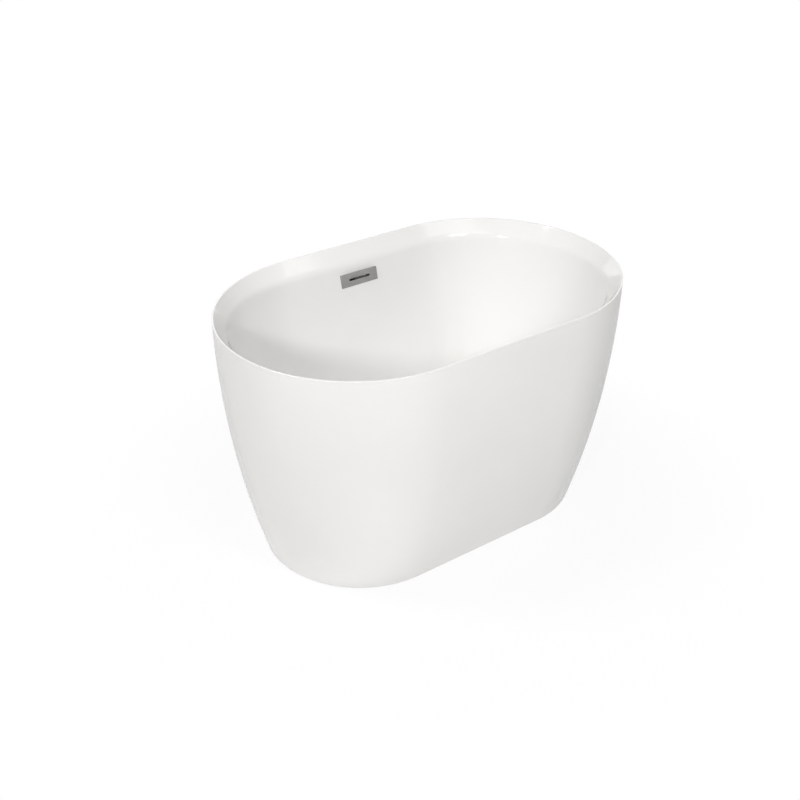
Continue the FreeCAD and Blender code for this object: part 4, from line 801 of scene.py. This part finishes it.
    @staticmethod
    def facing_hole(points, walls, overflow):
        """The hole's four sides, turned to face its middle line."""
        centre = np.array([0.0, overflow.centre_y, overflow.centre_z])
        a, b, c = points[walls[:, 0]], points[walls[:, 1]], points[walls[:, 2]]
        towards = centre - (a + c) / 2
        towards[:, 0] = np.where(np.abs(a[:, 0] - b[:, 0]) < SAME_X, towards[:, 0], 0.0)
        flip = (np.cross(b - a, c - b) * towards).sum(-1) < 0
        walls[flip] = walls[flip][:, ::-1]
        return walls


class BATHTUB_OT_overflow_cover(bpy.types.Operator):
    """Build the overflow cover: a thin plate with a rounded front edge, a long slot and a hollow back"""

    bl_idname = "bathtub.overflow_cover"
    bl_label = "Overflow Cover"

    def execute(self, context):
        """Rounded rectangles of one count of points, in a chain from the slot over the face to the back."""
        sizes = context.scene.bath_overflow

        def outline(length, height, corner, depth):
            """Once round a rectangle with round corners, in even steps on each side and quarter turn."""
            half = np.array([length / 2 - corner, height / 2 - corner])
            quarter = np.linspace(0, math.pi / 2, QUARTER_STEPS + 1)
            long_side = np.linspace(-1, 1, LONG_STEPS + 1)[1:-1]
            short_side = np.linspace(-1, 1, SHORT_STEPS + 1)[1:-1]
            parts = []
            for index, (x, y) in enumerate(((1, 1), (-1, 1), (-1, -1), (1, -1))):
                turn = quarter + index * math.pi / 2
                aside, upright = x * half[0] + corner * np.cos(turn), y * half[1] + corner * np.sin(turn)
                parts.append(np.stack([aside, upright], axis=-1))
                if index % 2 == 0:
                    run = -x * long_side * half[0]
                    parts.append(np.stack([run, np.full_like(run, y * (half[1] + corner))], axis=-1))
                else:
                    run = -y * short_side * half[1]
                    parts.append(np.stack([np.full_like(run, x * (half[0] + corner)), run], axis=-1))
            flat = np.concatenate(parts)
            return np.concatenate([flat, np.full((len(flat), 1), depth)], axis=-1)

        def corner(length, height, radius, depth, rounding=0.0, steps=0):
            """A corner of the chain: an outline, its rounding and the steps of that."""
            return outline(length, height, radius, depth), rounding, steps

        hollow = (sizes.length - 2 * sizes.border, sizes.height - 2 * sizes.border, HOLLOW_CORNER)
        plate = (sizes.length, sizes.height, sizes.corner_round)
        slot = (sizes.slot_length, sizes.slot_height, SLOT_CORNER)
        corners = [
            corner(*slot, sizes.thickness, SLOT_ROUND, EDGE_STEPS),
            corner(*plate, sizes.thickness, sizes.edge_round, COVER_EDGE_STEPS),
        ]
        for edge, depth in ((plate, 0.0), (hollow, 0.0), (hollow, sizes.recess), (slot, sizes.recess)):
            corners.append(corner(*edge, depth, COVER_BACK_ROUND, COVER_BACK_STEPS))
        rows, _ = rounded_rows(corners, {0: FLAT_SHARES}, support=0.0003)
        right = np.array([1.0, 0.0, 0.0])
        up = np.array([0.0, math.sin(sizes.lean), math.cos(sizes.lean)])
        normal = np.cross(right, up)
        centre = np.array([0.0, sizes.centre_y, sizes.centre_z])
        points = rows.reshape(-1, 3) @ np.stack([right, up, normal]) + centre
        faces = outward(points - centre, grid_faces(rows.shape[0], rows.shape[1], True, True).reshape(-1, 4))
        finish = finish_of(context.scene, "cover_metal")
        mesh_object("overflow_plate", points, faces, finish, "root", "cover_metal", "overflow_cover")
        return {"FINISHED"}


class BATHTUB_OT_plug_cap(bpy.types.Operator):
    """Build the plug's domed cap"""

    bl_idname = "bathtub.plug_cap"
    bl_label = "Plug Cap"

    def execute(self, context):
        """A turned disc whose dome is an arc: level = top - bow + sqrt(bow^2 - r^2)."""
        sizes = context.scene.bath_waste
        bow = (sizes.cap_radius ** 2 + sizes.cap_dome ** 2) / (2 * sizes.cap_dome)
        radii = np.linspace(0.0, sizes.cap_radius - CAP_CLEAR, DOME_ROWS)
        dome = sizes.cap_top - bow + np.sqrt(bow ** 2 - radii ** 2)
        corners = [(float(r), float(level), 0.0) for r, level in zip(radii, dome)]
        corners += [(sizes.cap_radius, sizes.cap_top - sizes.cap_dome, CAP_ROUND)]
        corners += [(sizes.cap_radius, sizes.cap_low, CAP_UNDER_ROUND)]
        corners += [(CAP_RING, sizes.cap_low, 0.0), (0.0, sizes.cap_low, 0.0)]
        finish = finish_of(context.scene, "chrome")
        turned_piece("plug_dome", corners, TURNED_STEPS, finish, "plug", "chrome", "plug_cap")
        return {"FINISHED"}


class BATHTUB_OT_waste_flange(bpy.types.Operator):
    """Build the waste flange with its tube, and the spider that carries the plug"""

    bl_idname = "bathtub.waste_flange"
    bl_label = "Waste Flange"

    def execute(self, context):
        """A turned flange and tube, a turned hub, and four ribs between them."""
        sizes = context.scene.bath_waste
        top, seat = sizes.flange_top, sizes.flange_top - sizes.flange_thickness
        finish = finish_of(context.scene, "chrome")
        turned_piece("waste_ring", [
            (sizes.tube_bore, sizes.tube_low, TUBE_END_ROUND),
            (sizes.tube_radius, sizes.tube_low, TUBE_END_ROUND),
            (sizes.tube_radius, seat, 0.0), (sizes.flange_radius, seat, FLANGE_UNDER_ROUND),
            (sizes.flange_radius, seat + sizes.flange_thickness / 2, FLANGE_EDGE_ROUND),
            (sizes.flange_radius - sizes.flange_thickness, top, FLANGE_FACE_ROUND),
            (sizes.tube_bore + sizes.flange_thickness, top, FLANGE_FACE_ROUND),
            (sizes.tube_bore, seat, FLANGE_FACE_ROUND),
        ], TURNED_STEPS, finish, "root", "chrome", "waste_flange")
        low = sizes.spider_top - sizes.spider_height
        turned_piece("spider_hub", [
            (sizes.hub_bore, low, HUB_BORE_ROUND), (sizes.hub_radius, low, HUB_ROUND),
            (sizes.hub_radius, sizes.spider_top, HUB_ROUND),
            (sizes.hub_bore, sizes.spider_top, HUB_BORE_ROUND),
        ], HUB_STEPS, finish, "root", "chrome")
        start, end = sizes.hub_radius - HUB_SINK, sizes.tube_bore + TUBE_SINK
        wide = sizes.rib_width / 2
        ring = np.array([[-wide, low], [wide, low], [wide, sizes.spider_top], [-wide, sizes.spider_top]])
        parts, quads = [], []
        for index in range(4):
            angle = index * math.pi / 2
            along = np.array([math.cos(angle), math.sin(angle)])
            aside = np.array([-math.sin(angle), math.cos(angle)])
            for reach in (start, end):
                flat = along * reach + ring[:, :1] * aside
                parts.append(np.concatenate([flat, ring[:, 1:]], axis=-1))
            # A rib has eight points: four at the hub and four at the tube
            base = index * 8
            quads += [[base + k, base + (k + 1) % 4, base + 4 + (k + 1) % 4, base + 4 + k] for k in range(4)]
            quads += [[base + 3, base + 2, base + 1, base], [base + 4, base + 5, base + 6, base + 7]]
        points = np.concatenate(parts)
        ribs = mesh_object("spider_ribs", points, outward(points, np.array(quads)), finish, "root", "chrome")
        ribs.data.polygons.foreach_set("use_smooth", np.zeros(len(ribs.data.polygons), bool))
        return {"FINISHED"}


class BATHTUB_OT_hidden_parts(bpy.types.Operator):
    """Give the frame, feet, waste and overflow parts under the bath their finishes"""

    bl_idname = "bathtub.hidden_parts"
    bl_label = "Hidden Parts"

    def execute(self, context):
        """Each node gets its slot's finish, but the frame behind the cover gets a dark colour, painted shade
        so that the slot looks dark.
        """
        slots = {part["node"]: part["material_slot"] for part in frame["record"]["subparts"]}
        # The frame behind the cover gets the dark finish, as painted shade seen through the slot
        slots["overflow_inner_frame"] = "frame_plastic"
        for name, node in frame["nodes"].items():
            node.data.materials.clear()
            node.data.materials.append(finish_of(context.scene, slots[name]))
        return {"FINISHED"}


class BATHTUB_OT_stage(bpy.types.Operator):
    """Set up the floor, the lights, the white background and the camera"""

    bl_idname = "bathtub.stage"
    bl_label = "Stage"

    def execute(self, context):
        """Each of the stage's things is made by its own function below."""
        scene = context.scene
        self.floor(scene)
        self.world(scene)
        for lamp in LAMPS:
            self.lamp(scene, *lamp)
        self.camera(scene)
        scene.view_settings.view_transform = "Standard"
        return {"FINISHED"}

    def floor(self, scene):
        """A wide floor that stays white to the camera and keeps the bath's soft shadow."""
        mesh = bpy.data.meshes.new("studio_floor")
        corners = [(x * FLOOR_HALF, y * FLOOR_HALF, 0.0) for x, y in ((-1, -1), (1, -1), (1, 1), (-1, 1))]
        mesh.from_pydata(corners, [], [(0, 1, 2, 3)])
        floor = bpy.data.objects.new("studio_floor", mesh)
        scene.collection.objects.link(floor)
        base = scene.bath_finishes.floor
        finish = Finish("studio_floor", Roughness=0.9)
        cloud = finish.noise(1.5, 3.0)
        finish.feed("Base Color", finish.tint(cloud, shade(base, 0.985), base))
        rays = finish.node("ShaderNodeLightPath").outputs
        distance = finish.node("ShaderNodeVectorMath", [(0, finish.place)], operation="LENGTH")
        near, white_near = FLOOR_NEAR
        far, white_far = FLOOR_FAR
        seen = finish.spread(distance.outputs["Value"], white_near, white_far, near, far)
        seen = finish.maths("MULTIPLY", seen, rays["Is Camera Ray"])
        gloss = finish.maths("MULTIPLY", rays["Is Glossy Ray"], FLOOR_GLOSS)
        seen = finish.maths("MAXIMUM", seen, gloss)
        seen = finish.maths("MAXIMUM", seen, rays["Is Transmission Ray"])
        glow = finish.node("ShaderNodeEmission", [("Color", WHITE)])
        mixed = finish.node("ShaderNodeMixShader", [
            (0, seen), (1, finish.shader.outputs["BSDF"]), (2, glow.outputs["Emission"])
        ])
        finish.give(finish.tree.nodes["Material Output"].inputs["Surface"], mixed.outputs["Shader"])
        mesh.materials.append(finish.material)

    def world(self, scene):
        """White to the camera, to gloss and through glass, and a plain soft light for everything else."""
        world = bpy.data.worlds.new("studio_world")
        scene.world = world
        world.use_nodes = True
        tree = world.node_tree
        soft = tree.nodes["Background"]
        soft.inputs["Color"].default_value = SOFT_TINT
        soft.inputs["Strength"].default_value = SOFT_STRENGTH
        white = tree.nodes.new("ShaderNodeBackground")
        white.inputs["Color"].default_value = WHITE
        white.inputs["Strength"].default_value = 1.0
        rays = tree.nodes.new("ShaderNodeLightPath")
        source = rays.outputs["Is Camera Ray"]
        for name in ("Is Glossy Ray", "Is Transmission Ray"):
            either = tree.nodes.new("ShaderNodeMath")
            either.operation = "MAXIMUM"
            tree.links.new(source, either.inputs[0])
            tree.links.new(rays.outputs[name], either.inputs[1])
            source = either.outputs[0]
        mix = tree.nodes.new("ShaderNodeMixShader")
        tree.links.new(source, mix.inputs[0])
        tree.links.new(soft.outputs[0], mix.inputs[1])
        tree.links.new(white.outputs[0], mix.inputs[2])
        tree.links.new(mix.outputs[0], tree.nodes["World Output"].inputs["Surface"])

    def lamp(self, scene, name, azimuth, height, extent, power):
        """A soft panel at the lamps' distance from the bath, which it faces."""
        light = bpy.data.lights.new(name, "AREA")
        light.shape = "RECTANGLE"
        light.size, light.size_y = extent
        light.energy = power
        light.color = LAMP_TINT
        lamp = bpy.data.objects.new(name, light)
        scene.collection.objects.link(lamp)
        azimuth, height = math.radians(azimuth), math.radians(height)
        level = math.cos(height)
        away = Vector((math.cos(azimuth) * level, math.sin(azimuth) * level, math.sin(height)))
        lamp.location = LAMP_TARGET + away * LAMP_DISTANCE
        lamp.rotation_euler = away.to_track_quat("Z", "Y").to_euler()

    def camera(self, scene):
        """The photograph's view: its azimuth, height angle and focal length, for a picture of 800 x 800."""
        data = bpy.data.cameras.new("camera")
        data.sensor_width = SENSOR_WIDTH
        data.lens = FOCAL_PIXELS * SENSOR_WIDTH / PICTURE_WIDTH
        data.clip_start, data.clip_end = CAMERA_CLIP
        camera = bpy.data.objects.new("camera", data)
        scene.collection.objects.link(camera)
        azimuth, height = math.radians(CAMERA_AZIMUTH), math.radians(CAMERA_HEIGHT)
        level = math.cos(height)
        ahead = Vector((math.sin(azimuth) * level, math.cos(azimuth) * level, -math.sin(height)))
        right = Vector((math.cos(azimuth), -math.sin(azimuth), 0.0))
        up = right.cross(ahead)
        target = CAMERA_TARGET + right * CAMERA_RIGHT + up * CAMERA_UP
        turn = Matrix((right, up, -ahead)).transposed()
        camera.matrix_world = Matrix.Translation(target - ahead * CAMERA_DISTANCE) @ turn.to_4x4()
        scene.camera = camera


class BATHTUB_PT_build(bpy.types.Panel):
    """Sizes, colours and build steps of the bathtub"""

    bl_idname = "BATHTUB_PT_build"
    bl_label = "Bathtub"
    bl_space_type = "VIEW_3D"
    bl_region_type = "UI"
    bl_category = "Bathtub"

    def draw(self, context):
        layout = self.layout
        for operator in OPERATORS:
            layout.operator(operator.bl_idname)
        for group, pointer in GROUPS:
            box = layout.box()
            box.label(text=group.__doc__)
            settings = getattr(context.scene, pointer)
            for name in group.__annotations__:
                box.prop(settings, name)


OPERATORS = (
    BATHTUB_OT_outer_skirt,
    BATHTUB_OT_inner_basin,
    BATHTUB_OT_overflow_cover,
    BATHTUB_OT_plug_cap,
    BATHTUB_OT_waste_flange,
    BATHTUB_OT_hidden_parts,
    BATHTUB_OT_stage,
)
GROUPS = (
    (BathShellSizes, "bath_shell"),
    (OverflowSizes, "bath_overflow"),
    (WasteSizes, "bath_waste"),
    (BathFinishes, "bath_finishes"),
)


def register():
    for group, pointer in GROUPS:
        bpy.utils.register_class(group)
        setattr(bpy.types.Scene, pointer, PointerProperty(type=group))
    for operator in OPERATORS:
        bpy.utils.register_class(operator)
    bpy.utils.register_class(BATHTUB_PT_build)


def unregister():
    bpy.utils.unregister_class(BATHTUB_PT_build)
    for operator in reversed(OPERATORS):
        bpy.utils.unregister_class(operator)
    for group, pointer in reversed(GROUPS):
        delattr(bpy.types.Scene, pointer)
        bpy.utils.unregister_class(group)


def main():
    """Build the bath in order."""
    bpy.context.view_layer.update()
    register()
    bpy.ops.bathtub.outer_skirt()
    bpy.ops.bathtub.inner_basin()
    bpy.ops.bathtub.overflow_cover()
    bpy.ops.bathtub.plug_cap()
    bpy.ops.bathtub.waste_flange()
    bpy.ops.bathtub.hidden_parts()
    bpy.ops.bathtub.stage()


if __name__ == "__main__":
    main()
